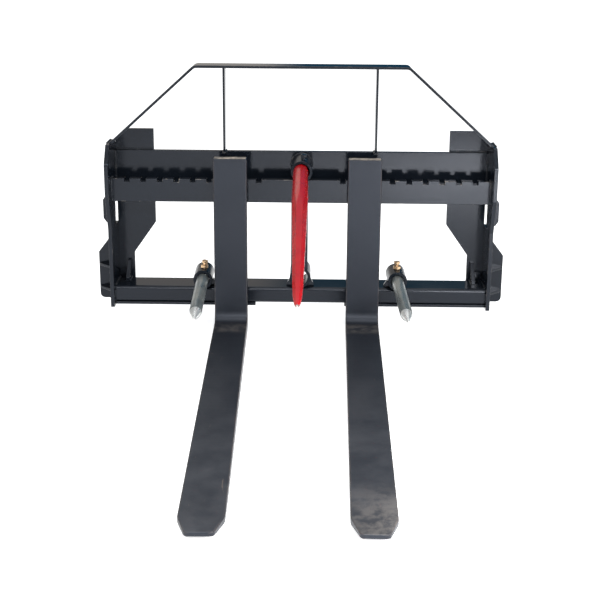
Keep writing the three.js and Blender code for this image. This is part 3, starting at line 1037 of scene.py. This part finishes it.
# ---------------------------------------------------------------- carriage
@dataclass
class Carriage:
    """Welded carriage: notched rail, crossbar, bottom tube, side plates and guard hoop."""

    tube_corner: float = 11 * MM
    tube_wall: float = 6.35 * MM
    hoop_thick: float = 8 * MM
    hoop_bend: float = 324 * MM
    hoop_outer_bend: float = 24 * MM
    hoop_corner: float = 1.6 * MM
    bend_steps: int = 8
    plates: tuple[str, ...] = (
        "side_plate", "attach_plate", "top_lip", "bottom_lip", "upper_gusset", "lower_gusset",
        "tube_gusset", "side_lug", "upright", "hook_lip", "lock_bolt",
    )

    def build(self) -> None:
        """Builds the rail, the bars and every plate."""
        rail = Dressing(edge=RAIL_EDGE, ease=1.3 * MM)
        rail.dress("notched_fork_rail", Body.FRAME)
        plain = Dressing()
        for node in ("rear_crossbar", "centre_post"):
            plain.dress(node, Body.FRAME)
        for side in Side:
            for plate in self.plates:
                plain.dress(f"{side.word}_{plate}", Body.FRAME)
        self.tube()
        self.hoop()

    def tube(self) -> bpy.types.Object:
        """Builds the bottom tube with round corners inside and out.

        Returns:
            The placed tube.
        """
        low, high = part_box("bottom_tube")
        outer = self.rounded(low, high, self.tube_corner)
        inward = Vector((0.0, self.tube_wall, self.tube_wall))
        inner = self.rounded(low + inward, high - inward, self.tube_corner - self.tube_wall)
        bm = bmesh.new()
        rings = []
        for x in (low.x, high.x):
            rings.append([[bm.verts.new((x, y, z)) for y, z in loop] for loop in (outer, inner)])
        count = len(outer)
        for k in range(count):
            n = (k + 1) % count
            for loop in (0, 1):
                bm.faces.new((rings[0][loop][k], rings[0][loop][n], rings[1][loop][n], rings[1][loop][k]))
            for end in (0, 1):
                bm.faces.new((rings[end][0][k], rings[end][0][n], rings[end][1][n], rings[end][1][k]))
        bmesh.ops.recalc_face_normals(bm, faces=bm.faces)
        made = from_bmesh("bottom_tube_blank", bm, (ENAMEL,))
        even_normals(made)
        rolled = to_plain_mesh(made, "bottom_tube_rolled")
        return place_piece(rolled, Body.FRAME, ("bottom_tube",))

    def rounded(self, low: Vector, high: Vector, radius: float) -> list[tuple[float, float]]:
        """A round-cornered rectangle in Y and Z between two corners.

        Args:
            low: lower corner, as Y and Z.
            high: upper corner, as Y and Z.
            radius: radius of the corners.

        Returns:
            The outline's points in order.
        """
        points = []
        for k, (y, z) in enumerate(
            (
                (high.y - radius, high.z - radius),
                (low.y + radius, high.z - radius),
                (low.y + radius, low.z + radius),
                (high.y - radius, low.z + radius),
            )
        ):
            for step in range(self.bend_steps + 1):
                turn = math.pi / 2 * (k + step / self.bend_steps)
                points.append((y + radius * math.cos(turn), z + radius * math.sin(turn)))
        return points

    def hoop(self) -> bpy.types.Object:
        """Builds the guard hoop: a flat bar bent twice, its feet cut level.

        Returns:
            The placed hoop.
        """
        low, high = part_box("guard_hoop")
        half = (high.y - low.y) / 2
        y = (low.y + high.y) / 2
        rise = high.z - self.hoop_thick / 2 - low.z
        slope = math.atan2(rise, high.x - self.hoop_thick - self.hoop_bend)
        for _ in range(4):
            foot = high.x - self.hoop_thick / 2 / math.sin(slope)
            slope = math.atan2(rise, foot - self.hoop_bend)
        mitre = self.hoop_thick / 2 * math.tan(slope / 2)
        bend = self.hoop_outer_bend
        centre = Vector((self.hoop_bend + mitre, 0, high.z))
        centre -= Vector((math.sin(slope / 2), 0, math.cos(slope / 2))) * (bend / math.cos(slope / 2))
        wide = self.hoop_thick / math.sin(slope)
        pairs = [(Vector((high.x, 0, low.z)), Vector((high.x - wide, 0, low.z)))]
        for step in range(self.bend_steps + 1):
            turn = slope * (1 - step / self.bend_steps)
            arm = Vector((math.sin(turn), 0, math.cos(turn)))
            pairs.append((centre + arm * bend, centre + arm * (bend - self.hoop_thick)))
        mirrored = [(Vector((-a.x, 0, a.z)), Vector((-b.x, 0, b.z))) for a, b in reversed(pairs)]
        shift = Vector((0, y, 0))
        stations = [Station(a + shift, b + shift, half) for a, b in pairs + mirrored]
        bar = Bar(Vector((0, 1, 0)), self.hoop_corner, 3)
        made = bar.build("guard_hoop_bent", stations, (ENAMEL, ENAMEL_EDGE))
        return place_piece(made, Body.FRAME, ("guard_hoop",))

    def seams(self) -> list[Seam]:
        """The weld seams that join the carriage.

        Returns:
            The seams.
        """
        rail_low, rail_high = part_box("notched_fork_rail")
        bar_low, bar_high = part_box("rear_crossbar")
        tube_low, tube_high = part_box("bottom_tube")
        hoop_low, hoop_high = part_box("guard_hoop")
        found: list[Seam] = []
        for side in Side:
            sign = side.value
            inner = sign * rail_high.x
            plate_low, plate_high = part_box(f"{side.word}_side_plate")
            back_low, back_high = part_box(f"{side.word}_attach_plate")
            outer = sign * max(abs(plate_low.x), abs(plate_high.x))
            inboard = sign * min(abs(back_low.x), abs(back_high.x))
            for y, bottom, top in (
                (rail_low.y, rail_low.z, rail_high.z),
                (rail_high.y, rail_low.z, rail_high.z),
                (bar_low.y, bar_low.z, bar_high.z),
                (tube_low.y, tube_low.z + self.tube_corner, tube_high.z - self.tube_corner),
            ):
                found.append(Seam((Vector((inner, y, bottom + 3 * MM)), Vector((inner, y, top - 3 * MM)))))
            found.append(
                Seam((Vector((inner, tube_low.y + self.tube_corner, tube_high.z)),
                      Vector((inner, tube_high.y - 4 * MM, tube_high.z))))
            )
            found.append(
                Seam((Vector((inner, rail_low.y + 2 * MM, rail_high.z)),
                      Vector((inner, rail_high.y - 2 * MM, rail_high.z))))
            )
            found.append(
                Seam(
                    (Vector((inboard, back_low.y, bar_high.z)), Vector((inner, back_low.y, bar_high.z))),
                    3.6 * MM,
                )
            )
            found.append(
                Seam((
                    Vector((outer, back_low.y, back_low.z + 30 * MM)),
                    Vector((outer, back_low.y, hoop_low.z - 30 * MM)),
                ))
            )
            for x in (outer - sign * 12 * MM, outer):
                found.append(
                    Seam(
                        (
                            Vector((x, hoop_low.y + 4 * MM, hoop_low.z)),
                            Vector((x, hoop_high.y - 4 * MM, hoop_low.z)),
                        ),
                        2.6 * MM,
                    )
                )
            found += self.upright_seams(side, hoop_high.z - self.hoop_thick)
            found += self.plate_seams(side, outer)
        return found + self.post_seams(rail_low)

    def upright_seams(self, side: Side, under: float) -> list[Seam]:
        """Beads on both sides of an upright's foot and head.

        Args:
            side: side of the carriage.
            under: height of the bar under the foot.

        Returns:
            The seams.
        """
        low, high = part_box(f"{side.word}_upright")
        found = []
        for x in (low.x, high.x):
            for z in (low.z, under):
                ends = (Vector((x, low.y + 3 * MM, z)), Vector((x, high.y - 3 * MM, z)))
                found.append(Seam(ends, 3.4 * MM))
        for z in (low.z, under):
            found.append(Seam((Vector((low.x, low.y, z)), Vector((high.x, low.y, z))), 3.0 * MM))
        return found

    def plate_seams(self, side: Side, outer: float) -> list[Seam]:
        """Beads round the lips, gussets and the lug of one side.

        Args:
            side: side of the carriage.
            outer: X of the side plate's outer face.

        Returns:
            The seams.
        """
        found = []
        for name in ("upper_gusset", "lower_gusset"):
            low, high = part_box(f"{side.word}_{name}")
            for z in (low.z, high.z):
                found.append(Seam((Vector((outer, low.y + 6 * MM, z)), Vector((outer, high.y, z))), 2.6 * MM))
        low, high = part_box(f"{side.word}_side_lug")
        for y in (low.y, high.y):
            ends = (Vector((outer, y, low.z + 2 * MM)), Vector((outer, y, high.z - 2 * MM)))
            found.append(Seam(ends, 2.6 * MM))
        low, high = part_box(f"{side.word}_top_lip")
        level = high.z - 15 * MM
        ends = (Vector((low.x + 3 * MM, low.y, level)), Vector((high.x - 3 * MM, low.y, level)))
        found.append(Seam(ends, 2.8 * MM))
        low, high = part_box(f"{side.word}_bottom_lip")
        ends = (Vector((low.x + 3 * MM, low.y, high.z)), Vector((high.x - 3 * MM, low.y, high.z)))
        found.append(Seam(ends, 3.2 * MM))
        low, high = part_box(f"{side.word}_tube_gusset")
        for x in (low.x, high.x):
            ends = (Vector((x, low.y + 4 * MM, low.z)), Vector((x, high.y - 2 * MM, low.z)))
            found.append(Seam(ends, 2.6 * MM))
        low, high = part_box(f"{side.word}_hook_lip")
        near, far = sorted((low.x, high.x))
        ends = (Vector((near + 4 * MM, high.y, high.z)), Vector((far - 4 * MM, high.y, high.z)))
        found.append(Seam(ends, 2.6 * MM))
        return found

    def post_seams(self, rail_low: Vector) -> list[Seam]:
        """Beads where the centre post meets the rail.

        Args:
            rail_low: low corner of the rail's box.

        Returns:
            The seams.
        """
        low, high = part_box("centre_post")
        ends = [Vector((low.x, low.y, rail_low.z)), Vector((high.x, low.y, rail_low.z))]
        return [
            Seam(tuple(ends), 2.8 * MM),
            Seam(tuple(Vector((v.x, high.y, v.z)) for v in ends), 2.8 * MM),
        ]


# ---------------------------------------------------------------- sockets
@dataclass
class Socket:
    """A tube socket with its set bolt, and a welded nut where it has one."""

    name: str
    bore: float
    nut: bool = False
    joint: str | None = None
    tilt: float = 0.0
    chamfer: float = 1.2 * MM
    braces: tuple[str, ...] = ()

    def axis(self) -> Matrix:
        """Placing matrix: local Y along the socket, origin in its middle.

        Returns:
            The placing matrix.
        """
        direction = joint_axis(self.joint) * -1 if self.joint else Vector((0.0, 1.0, 0.0))
        return axis_frame(middle(f"{self.name}_sleeve"), direction)

    def sizes(self) -> tuple[float, float]:
        """The sleeve's outer radius and half of its length, from its turned box.

        Returns:
            Outer radius and half length.
        """
        low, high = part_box(f"{self.name}_sleeve")
        radius = (high.z - low.z) / 2
        along = self.axis().to_3x3() @ Vector((0, 1, 0))
        length = (high.y - low.y - 2 * radius * abs(along.x)) / along.y
        return radius, length / 2

    def build(self) -> None:
        """Builds the sleeve and its bolt, nut and braces."""
        radius, half = self.sizes()
        edge = self.chamfer
        profile = [
            (self.bore, edge - half), (self.bore + edge, -half), (radius - edge, -half),
            (radius, edge - half), (radius, half - edge), (radius - edge, half),
            (self.bore + edge, half), (self.bore, half - edge), (self.bore, edge - half),
        ]
        made = turned(f"{self.name}_socket", profile, self.axis(), (SLEEVE,))
        place_piece(made, Body.FRAME, (f"{self.name}_sleeve",))
        if self.nut:
            metal = Dressing(YELLOW_ZINC, YELLOW_ZINC, 0.9 * MM, 2)
            metal.dress(f"{self.name}_set_bolt", Body.FRAME)
            metal.dress(f"{self.name}_set_nut", Body.FRAME)
        else:
            Dressing(edge=RAIL_EDGE, ease=0.9 * MM).dress(f"{self.name}_set_bolt", Body.FRAME)
        for brace in self.braces:
            Dressing().dress(brace, Body.FRAME)

    def thread(self, length: float) -> tuple[Vector, Vector]:
        """Foot and lean of the thread that shows under the bolt's head.

        Args:
            length: length that shows.

        Returns:
            The thread's foot and lean.
        """
        low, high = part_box(f"{self.name}_set_bolt")
        up = Vector((math.sin(self.tilt), 0.0, math.cos(self.tilt)))
        head = 8 * MM
        centre = (low + high) / 2
        reach = (high.z - low.z) / 2 / math.cos(self.tilt)
        foot = centre + up * (reach - head - length)
        return foot, Vector((0.0, self.tilt, 0.0))

    def seams(self, rests: Sequence[tuple[float, float, float]], ring_at: float | None = None) -> list[Seam]:
        """Beads along the foot of the sleeve.

        Args:
            rests: height of a surface under the sleeve, and where it starts and ends along it.
            ring_at: place along the sleeve's axis of a bead all round it.

        Returns:
            The seams.
        """
        radius, _ = self.sizes()
        place = self.axis()
        found = []
        for drop, start, end in rests:
            for side in (-1, 1):
                x = side * math.sqrt(max(radius**2 - drop**2, (7 * MM) ** 2))
                ends = (place @ Vector((x, start, -drop)), place @ Vector((x, end, -drop)))
                found.append(Seam(ends, 3.4 * MM))
        if ring_at is not None:
            turn = place.to_3x3()
            found.append(
                ring_seam(
                    place @ Vector((0, ring_at, 0)),
                    turn @ Vector((radius, 0, 0)),
                    turn @ Vector((0, 0, radius)),
                )
            )
        return found


# ---------------------------------------------------------------- spears
@dataclass
class HaySpear:
    """Red spear: a round bar that eight flats taper to a point."""

    radius: float = 22.2 * MM
    segments: int = 96
    flats: tuple[tuple[float, float], ...] = (
        (0.0, 3.5), (3.0, 3.5), (24.0, 6.5), (62.0, 9.2), (122.0, 11.0), (257.0, 13.0),
        (880.0, 22.2), (1130.0, 26.0),
    )

    def flat_at(self, along: float) -> float:
        """Distance from the axis to a flat, at a distance from the point.

        Args:
            along: distance from the point.

        Returns:
            The distance in metres.
        """
        knots = self.flats
        for (a, low), (b, high) in zip(knots, knots[1:]):
            if along <= b * MM:
                return (low + (high - low) * (along / MM - a) / (b - a)) * MM
        return knots[-1][1] * MM

    def build(self) -> bpy.types.Object:
        """Builds the spear from its point to its tail.

        Returns:
            What was built.
        """
        direction = joint_axis("hay_spear_pull") * -1
        low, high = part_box("hay_spear")
        length = (high.y - low.y) / direction.y
        centre = (low + high) / 2
        place = axis_frame(centre - direction * length / 2, direction)
        bm = bmesh.new()
        stops = [0.0, 1.5, 3.0, 8.0, 14.0, 24.0, 42.0, 62.0, 90.0, 122.0, 180.0]
        stops = [s * MM for s in stops]
        stops += [stops[-1] + (length - stops[-1] - 3 * MM) * k / 46 for k in range(1, 47)] + [length]
        rings = []
        for along in stops:
            flat = self.flat_at(along)
            if along >= length:
                bound = self.radius - 3 * MM
            else:
                bound = min(self.radius, 4 * MM + (self.radius - 4 * MM) * along / (90 * MM))
            if along == 0.0:
                flat, bound = 2.2 * MM, 2.6 * MM
            ring = []
            for k in range(self.segments):
                turn = 2 * math.pi * k / self.segments
                off = (turn + math.pi / 8) % (math.pi / 4) - math.pi / 8
                reach = min(bound, flat / math.cos(off))
                point = Vector((reach * math.sin(turn), along, reach * math.cos(turn)))
                ring.append(bm.verts.new(place @ point))
            rings.append(ring)
        for one, other in zip(rings, rings[1:]):
            for k in range(self.segments):
                n = (k + 1) % self.segments
                bm.faces.new((one[k], one[n], other[n], other[k]))
        bm.faces.new(rings[0])
        bm.faces.new(rings[-1][::-1])
        bmesh.ops.recalc_face_normals(bm, faces=bm.faces)
        red = TippedPaint("gloss_red_enamel", point=low.y + 7 * MM)
        made = from_bmesh("hay_spear_blank", bm, (red,))
        made.data.set_sharp_from_angle(angle=math.radians(20))
        even_normals(made)
        painted = to_plain_mesh(made, "hay_spear_painted")
        return place_piece(painted, Body.HAY_SPEAR, ("hay_spear",))


@dataclass
class StabilizerSpear:
    """Short round spear with a ground conical point."""

    side: Side
    radius: float = 18.25 * MM
    point: float = 78 * MM

    def build(self) -> bpy.types.Object:
        """Builds the spear from its point to its tail.

        Returns:
            What was built.
        """
        node = f"{self.side.word}_stabilizer_spear"
        direction = joint_axis(f"{self.side.word}_stabilizer_pull") * -1
        low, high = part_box(node)
        length = (high.y - low.y) / abs(direction.y)
        place = axis_frame((low + high) / 2 - direction * length / 2, direction)
        radius, point = self.radius, self.point
        profile = [
            (0.0, 0.0), (1.8 * MM, 0.4 * MM), (3.0 * MM, 2.0 * MM), (radius * 0.68, point * 0.45),
            (radius * 0.87, point * 0.66), (radius * 0.965, point * 0.85), (radius * 0.992, point * 0.95),
            (radius, point), (radius, length - 3 * MM), (radius - 3 * MM, length), (0.0, length),
        ]
        steel = TippedPaint(
            f"{self.side.word}_spear_steel", colour=(0.27, 0.285, 0.27), shade=(0.16, 0.19, 0.195),
            bare_colour=(0.90, 0.92, 0.90), roughness=0.30, gloss=0.5, fleck=0.2, metal=0.7,
            point=low.y + point * 0.80, ragged=1.5 * MM,
        )
        made = turned(f"{node}_turned", profile, place, (steel,))
        body = Body[f"{self.side.name}_STABILIZER"]
        return place_piece(made, body, (node,))


# ---------------------------------------------------------------- forks
@dataclass
class PalletFork:
    """One forged fork with its hooks and its latch."""

    side: Side
    thick: float = 38 * MM
    rear: float = -3 * MM
    outer_heel: float = 40 * MM
    inner_heel: float = 30 * MM
    blade: float = 1200 * MM
    taper: float = 900 * MM
    rise: float = 150 * MM
    tip_top: float = 22 * MM
    tip_bottom: float = 11 * MM
    nose: float = 62 * MM
    nose_in: float = 20 * MM
    corner: float = 3.2 * MM
    heel_steps: int = 12

    @property
    def body(self) -> Body:
        """The fork's body.

        Returns:
            The body.
        """
        return Body[f"{self.side.name}_FORK"]

    def placing(self) -> tuple[Matrix, float, float]:
        """Where the fork stands.

        Returns:
            The placing matrix, half of the bar's width, and the height of its top.
        """
        vertices = [v.co for v in frame["nodes"][f"{self.side.word}_fork"].data.vertices]
        top = max(v.z for v in vertices)
        crown = [v for v in vertices if v.z > top - 0.1 * MM]
        centre = sum(crown, Vector()) / len(crown)
        ends = []
        for sign in (-1, 1):
            group = [v for v in crown if sign * (v.x - centre.x) > 0]
            ends.append(sum(group, Vector()) / len(group))
        across = ends[1] - ends[0]
        turn = Matrix.Rotation(math.atan2(across.y, across.x), 4, "Z")
        middle_y = self.rear - self.thick / 2
        origin = Vector(((ends[0].x + ends[1].x) / 2, (ends[0].y + ends[1].y) / 2, 0.0))
        origin -= turn @ Vector((0.0, middle_y, 0.0))
        return Matrix.Translation(origin) @ turn, across.length / 2, top

    def half_at(self, along: float, half: float) -> float:
        """Half of the bar's width at a distance from the tip.

        Args:
            along: distance from the tip.
            half: half of the bar's full width.

        Returns:
            Half width in metres.
        """
        if along >= self.nose + 6 * MM:
            return half
        slope = self.nose_in / self.nose
        inward = slope * max(self.nose - along, 0.0)
        if abs(along - self.nose) < 6 * MM:
            inward = slope * (self.nose + 6 * MM - along) ** 2 / (24 * MM)
        radius = 9 * MM
        if along < radius:
            inward += radius - math.sqrt(radius**2 - (radius - along) ** 2)
        return half - inward

    def stations(self, half: float, top: float) -> list[Station]:
        """Sections from the top of the shank, round the heel, to the tip.

        Args:
            half: half of the bar's full width.
            top: height of the top of the shank.

        Returns:
            The stations in order.
        """
        rear, front = self.rear, self.rear - self.thick
        tip = front - self.blade
        found = [
            Station(Vector((0, rear, top - drop)), Vector((0, front, top - drop)), half, inset)
            for drop, inset in self.ease()
        ]
        for k in range(1, 7):
            z = top - self.corner - (top - self.corner - self.outer_heel - self.thick) * k / 7
            found.append(Station(Vector((0, rear, z)), Vector((0, front, z)), half))
        for step in range(self.heel_steps + 1):
            turn = -math.pi / 2 * step / self.heel_steps
            arm = Vector((0, math.cos(turn), math.sin(turn)))
            outer = Vector((0, rear - self.outer_heel, self.outer_heel)) + arm * self.outer_heel
            corner = Vector((0, front - self.inner_heel, self.thick + self.inner_heel))
            found.append(Station(outer, corner + arm * self.inner_heel, half))
        start = front - self.inner_heel
        flat = self.blade - self.taper
        distances = [tip + self.blade - self.inner_heel - flat * k / 4 for k in range(1, 4)]
        distances += [tip + self.taper - (self.taper - self.rise) * k / 8 for k in range(8)]
        near = (150.0, 100.0, 80.0, 68.0, 65.0, 62.0, 59.0, 56.0, 45.0, 30.0, 18.0, 9.0, 6.5, 4.5)
        distances += [tip + d * MM for d in near]
        for y in distances:
            if y < start:
                found.append(self.blade_station(y, tip, half, 0.0))
        for drop, inset in reversed(self.ease()):
            found.append(self.blade_station(tip + drop, tip, half, inset))
        return found

    def ease(self) -> list[tuple[float, float]]:
        """Depth and inset of the sections that round an end.

        Returns:
            Pairs of depth and inset.
        """
        turns = [math.pi / 2 * k / 4 for k in range(5)]
        return [(self.corner * (1 - math.cos(t)), self.corner * (1 - math.sin(t))) for t in turns]

    def blade_station(self, y: float, tip: float, half: float, inset: float) -> Station:
        """The blade's section at a place along it.

        Args:
            y: place along the blade.
            tip: Y of the tip.
            half: half of the bar's full width.
            inset: how far the section is drawn in.

        Returns:
            The station.
        """
        along = y - tip
        top = self.thick - (self.thick - self.tip_top) * max(1 - along / self.taper, 0.0)
        bottom = self.tip_bottom * max(1 - along / self.rise, 0.0)
        width = self.half_at(max(along, 0.0), half)
        return Station(Vector((0, y, bottom)), Vector((0, y, top)), width, inset)

    def build(self) -> None:
        """Builds the bar, the hooks and the latch."""
        place, half, top = self.placing()
        turn = place.to_3x3()
        stations = [
            Station(place @ s.outer, place @ s.inner, s.half, s.inset) for s in self.stations(half, top)
        ]
        bar = Bar((turn @ ACROSS).normalized(), self.corner)
        # The third finish paints the shank's top face pale, a painted highlight for its lit top.
        made = bar.build(f"{self.side.word}_fork_forged", stations, (FORGED, FORGED_EDGE, SHANK_TOP_HIGHLIGHT))
        place_piece(made, self.body, (f"{self.side.word}_fork",))
        hooks = Dressing(FORGED, FORGED_EDGE, 1.8 * MM, 3)
        for hook in ("upper_hook", "lower_hook"):
            hooks.dress(f"{self.side.word}_{hook}", self.body)
        Dressing(ease=0.6 * MM).dress(f"{self.side.word}_latch_housing", self.body)
        self.latch()

    def latch(self) -> None:
        """Builds the latch pin and its cross handle, and dresses the spring."""
        word = self.side.word
        latch_body = Body[f"{self.side.name}_LATCH"]
        Dressing(TURNED_STEEL, TURNED_STEEL, 0.5 * MM).dress(f"{word}_latch_pin", latch_body)
        Dressing(YELLOW_ZINC, YELLOW_ZINC, 0.8 * MM).dress(f"{word}_latch_handle", latch_body)
        spring = frame["nodes"][f"{word}_latch_spring"]
        spring.data.materials.clear()
        spring.data.materials.append(TURNED_STEEL.material())

    def seams(self) -> list[Seam]:
        """Beads between the hooks and the back of the shank.

        Returns:
            The seams.
        """
        place, _, _ = self.placing()
        found = []
        for hook in ("upper_hook", "lower_hook"):
            low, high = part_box(f"{self.side.word}_{hook}")
            half = 40 * MM
            bottom, top = low.z, high.z
            if hook == "upper_hook":
                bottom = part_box("notched_fork_rail")[1].z + 0.3 * MM
            else:
                top = low.z + 25 * MM
            for x in (-half, half):
                ends = (
                    place @ Vector((x, self.rear, bottom + 2 * MM)),
                    place @ Vector((x, self.rear, top - 2 * MM)),
                )
                found.append(Seam(ends, 3.4 * MM))
            level = top if hook == "upper_hook" else bottom
            ends = (place @ Vector((-half, self.rear, level)), place @ Vector((half, self.rear, level)))
            found.append(Seam(ends, 3.4 * MM))
        return found


# ---------------------------------------------------------------- studio
@dataclass(frozen=True)
class Softbox:
    """A soft area light that looks at a point."""

    name: str
    place: tuple[float, float, float]
    target: tuple[float, float, float]
    size: tuple[float, float]
    power: float
    colour: Colour = (1.0, 1.0, 1.0)

    def hang(self) -> None:
        """Hangs the light."""
        data = bpy.data.lights.new(self.name, "AREA")
        data.shape = "RECTANGLE"
        data.size, data.size_y = self.size
        data.energy = self.power
        data.color = self.colour
        light = bpy.data.objects.new(self.name, data)
        light.location = self.place
        aim = Vector(self.target) - Vector(self.place)
        light.rotation_euler = aim.to_track_quat("-Z", "Y").to_euler()
        bpy.context.scene.collection.objects.link(light)


@dataclass
class Studio:
    """Pale floor, soft light and the camera."""

    aside: float = 0.03328
    ahead: float = 3.17047
    height: float = 1.19186
    pitch: float = 0.24961
    yaw: float = -0.01107
    roll: float = 0.00719
    lens: float = 63.581
    shift: float = -0.15
    floor_size: float = 60.0
    lights: tuple[Softbox, ...] = (
        Softbox("right_floor_bounce", (1.05, -1.65, 0.85), (1.05, -1.6, 0.0), (0.8, 1.0), 92.0),
        Softbox("top_softbox", (0.2, -0.4, 3.4), (0.0, 0.2, 0.2), (2.6, 2.0), 45.0),
        Softbox("front_strip", (-0.3, -3.4, 2.9), (0.0, 0.5, 0.3), (3.2, 0.35), 85.0),
    )

    def build(self) -> None:
        """Builds the whole studio."""
        self.camera()
        self.floor()
        self.sky()
        for light in self.lights:
            light.hang()
        bpy.context.scene.view_settings.view_transform = "Standard"

    def camera(self) -> None:
        """Stands the camera beyond the fork tips, measured from the rail's front face."""
        eye = Vector((self.aside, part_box("notched_fork_rail")[0].y - self.ahead, self.height))
        data = bpy.data.cameras.new("camera")
        data.sensor_width = 36.0
        data.lens = self.lens
        data.shift_y = self.shift
        ahead = Vector(
            (
                math.sin(self.yaw) * math.cos(self.pitch),
                math.cos(self.yaw) * math.cos(self.pitch),
                -math.sin(self.pitch),
            )
        )
        right = Vector((math.cos(self.yaw), -math.sin(self.yaw), 0.0))
        up = right.cross(ahead)
        rolled_right = right * math.cos(self.roll) + up * math.sin(self.roll)
        rolled_up = up * math.cos(self.roll) - right * math.sin(self.roll)
        turn = Matrix((rolled_right, rolled_up, -ahead)).transposed().to_4x4()
        camera = bpy.data.objects.new("camera", data)
        camera.matrix_world = Matrix.Translation(eye) @ turn
        bpy.context.scene.collection.objects.link(camera)
        bpy.context.scene.camera = camera

    def floor(self) -> None:
        """Lays the floor just under the blades."""
        half = self.floor_size / 2
        mesh = bpy.data.meshes.new("floor")
        corners = [(-half, -half, 0), (half, -half, 0), (half, half, 0), (-half, half, 0)]
        mesh.from_pydata([(x, y, -0.5 * MM) for x, y, _ in corners], [], [(0, 1, 2, 3)])
        mesh.materials.append(FLOOR.material())
        floor = bpy.data.objects.new("floor", mesh)
        bpy.context.scene.collection.objects.link(floor)

    def sky(self) -> None:
        """Wires the surroundings: pale in front and above, dim blue-green low on the far right."""
        world = bpy.data.worlds.new("surroundings")
        bpy.context.scene.world = world
        world.use_nodes = True
        nodes, links = world.node_tree.nodes, world.node_tree.links
        nodes.clear()
        output = nodes.new("ShaderNodeOutputWorld")
        light = nodes.new("ShaderNodeBackground")
        coords = nodes.new("ShaderNodeTexCoord")
        parts = nodes.new("ShaderNodeSeparateXYZ")
        links.new(coords.outputs["Generated"], parts.inputs[0])
        black, white = (0.0, 0.0, 0.0), (1.0, 1.0, 1.0)
        haze, open_sky = (0.56, 0.64, 0.72), (0.95, 0.95, 0.95)
        right = self._ramp(
            world, parts.outputs["Z"],
            ((0.0, (0.006, 0.05, 0.10)), (0.26, (0.01, 0.085, 0.16)), (0.38, (0.11, 0.18, 0.23)),
             (0.54, haze), (0.80, open_sky)),
        )
        left = self._ramp(
            world, parts.outputs["Z"],
            ((0.0, (0.55, 0.52, 0.48)), (0.33, (0.50, 0.47, 0.45)), (0.54, haze), (0.80, open_sky)),
        )
        side = nodes.new("ShaderNodeMath")
        side.operation = "MULTIPLY_ADD"
        side.inputs[1].default_value, side.inputs[2].default_value = 0.5, 0.5
        links.new(parts.outputs["X"], side.inputs[0])
        to_right = self._ramp(world, side.outputs[0], ((0.475, black), (0.495, white)))
        behind = self._ramp(world, parts.outputs["Y"], ((0.0, black), (0.3, white)))
        around = self._mix(world, to_right, left, right)
        links.new(self._mix(world, behind, open_sky, around), light.inputs["Color"])
        links.new(light.outputs[0], output.inputs["Surface"])

    def _mix(self, world: bpy.types.World, factor: Input, one: Input, other: Input) -> bpy.types.NodeSocket:
        """Mixes two colours of the surroundings.

        Args:
            world: the surroundings.
            factor: how much of the second, 0 to 1.
            one: colour at factor 0.
            other: colour at factor 1.

        Returns:
            The mixed colour.
        """
        node = world.node_tree.nodes.new("ShaderNodeMix")
        node.data_type = "RGBA"
        for socket, value in ((node.inputs[0], factor), (node.inputs[6], one), (node.inputs[7], other)):
            if isinstance(value, tuple):
                socket.default_value = (*value, 1.0)
            else:
                world.node_tree.links.new(value, socket)
        return node.outputs[2]

    def _ramp(
        self, world: bpy.types.World, value: bpy.types.NodeSocket, stops: Sequence[tuple[float, Colour]]
    ) -> bpy.types.NodeSocket:
        """Adds a colour ramp to the surroundings.

        Args:
            world: the surroundings.
            value: socket that drives the ramp.
            stops: positions and colours of the ramp.

        Returns:
            The ramp's colour.
        """
        node = world.node_tree.nodes.new("ShaderNodeValToRGB")
        elements = node.color_ramp.elements
        while len(elements) < len(stops):
            elements.new(0.5)
        for element, (position, colour) in zip(elements, stops):
            element.position = position
            element.color = (*colour, 1.0)
        world.node_tree.links.new(value, node.inputs[0])
        return node.outputs["Color"]


def main() -> None:
    logging.basicConfig(level=logging.INFO, format="%(name)s: %(message)s")
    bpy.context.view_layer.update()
    studio = Studio()
    studio.build()
    carriage = Carriage()
    carriage.build()
    upper = Socket("upper_spear", 24 * MM, joint="hay_spear_pull", tilt=math.radians(8))
    lower = Socket(
        "lower_spear", 24 * MM, braces=("lower_spear_left_brace", "lower_spear_right_brace")
    )
    left = Socket(
        "left_stabilizer", 20 * MM, nut=True, joint="left_stabilizer_pull", tilt=math.radians(6),
        braces=("left_stabilizer_brace",),
    )
    right = Socket(
        "right_stabilizer", 20 * MM, nut=True, joint="right_stabilizer_pull",
        braces=("right_stabilizer_brace",),
    )
    sockets = (upper, lower, left, right)
    for socket in sockets:
        socket.build()
    HaySpear().build()
    for side in Side:
        StabilizerSpear(side).build()
    forks = [PalletFork(side) for side in Side]
    for fork in forks:
        fork.build()

    beads = BeadTree()
    seams = carriage.seams()
    low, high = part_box("notched_fork_rail")
    _, half = upper.sizes()
    centre = middle("upper_spear_sleeve")
    seams += upper.seams([(centre.z - high.z, low.y - centre.y, high.y - centre.y)], half)
    tube_low, tube_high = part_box("bottom_tube")
    for socket in (lower, left, right):
        half = socket.sizes()[1]
        centre = middle(f"{socket.name}_sleeve")
        start = max(tube_low.y + 8 * MM - centre.y, 6 * MM - half)
        seams += socket.seams([(centre.z - tube_high.z - 1.5 * MM, start, half - 4 * MM)])
    place_piece(beads.lay("carriage_weld_beads", seams, 3.0), Body.FRAME)
    for fork in forks:
        made = beads.lay(f"{fork.side.word}_fork_weld_beads", fork.seams(), 7.0)
        place_piece(made, fork.body)
    tree = ThreadTree()
    shown = 6.4 * MM
    for name, group, finish, slot in (
        ("spear_bolt_threads", (upper, lower), ENAMEL, Slot.FRAME),
        ("stabilizer_bolt_threads", (left, right), YELLOW_ZINC, Slot.ZINC),
    ):
        threads = tree.cut(name, [socket.thread(shown) for socket in group], shown, finish)
        place_piece(threads, Body.FRAME)


if __name__ == "__main__":
    main()
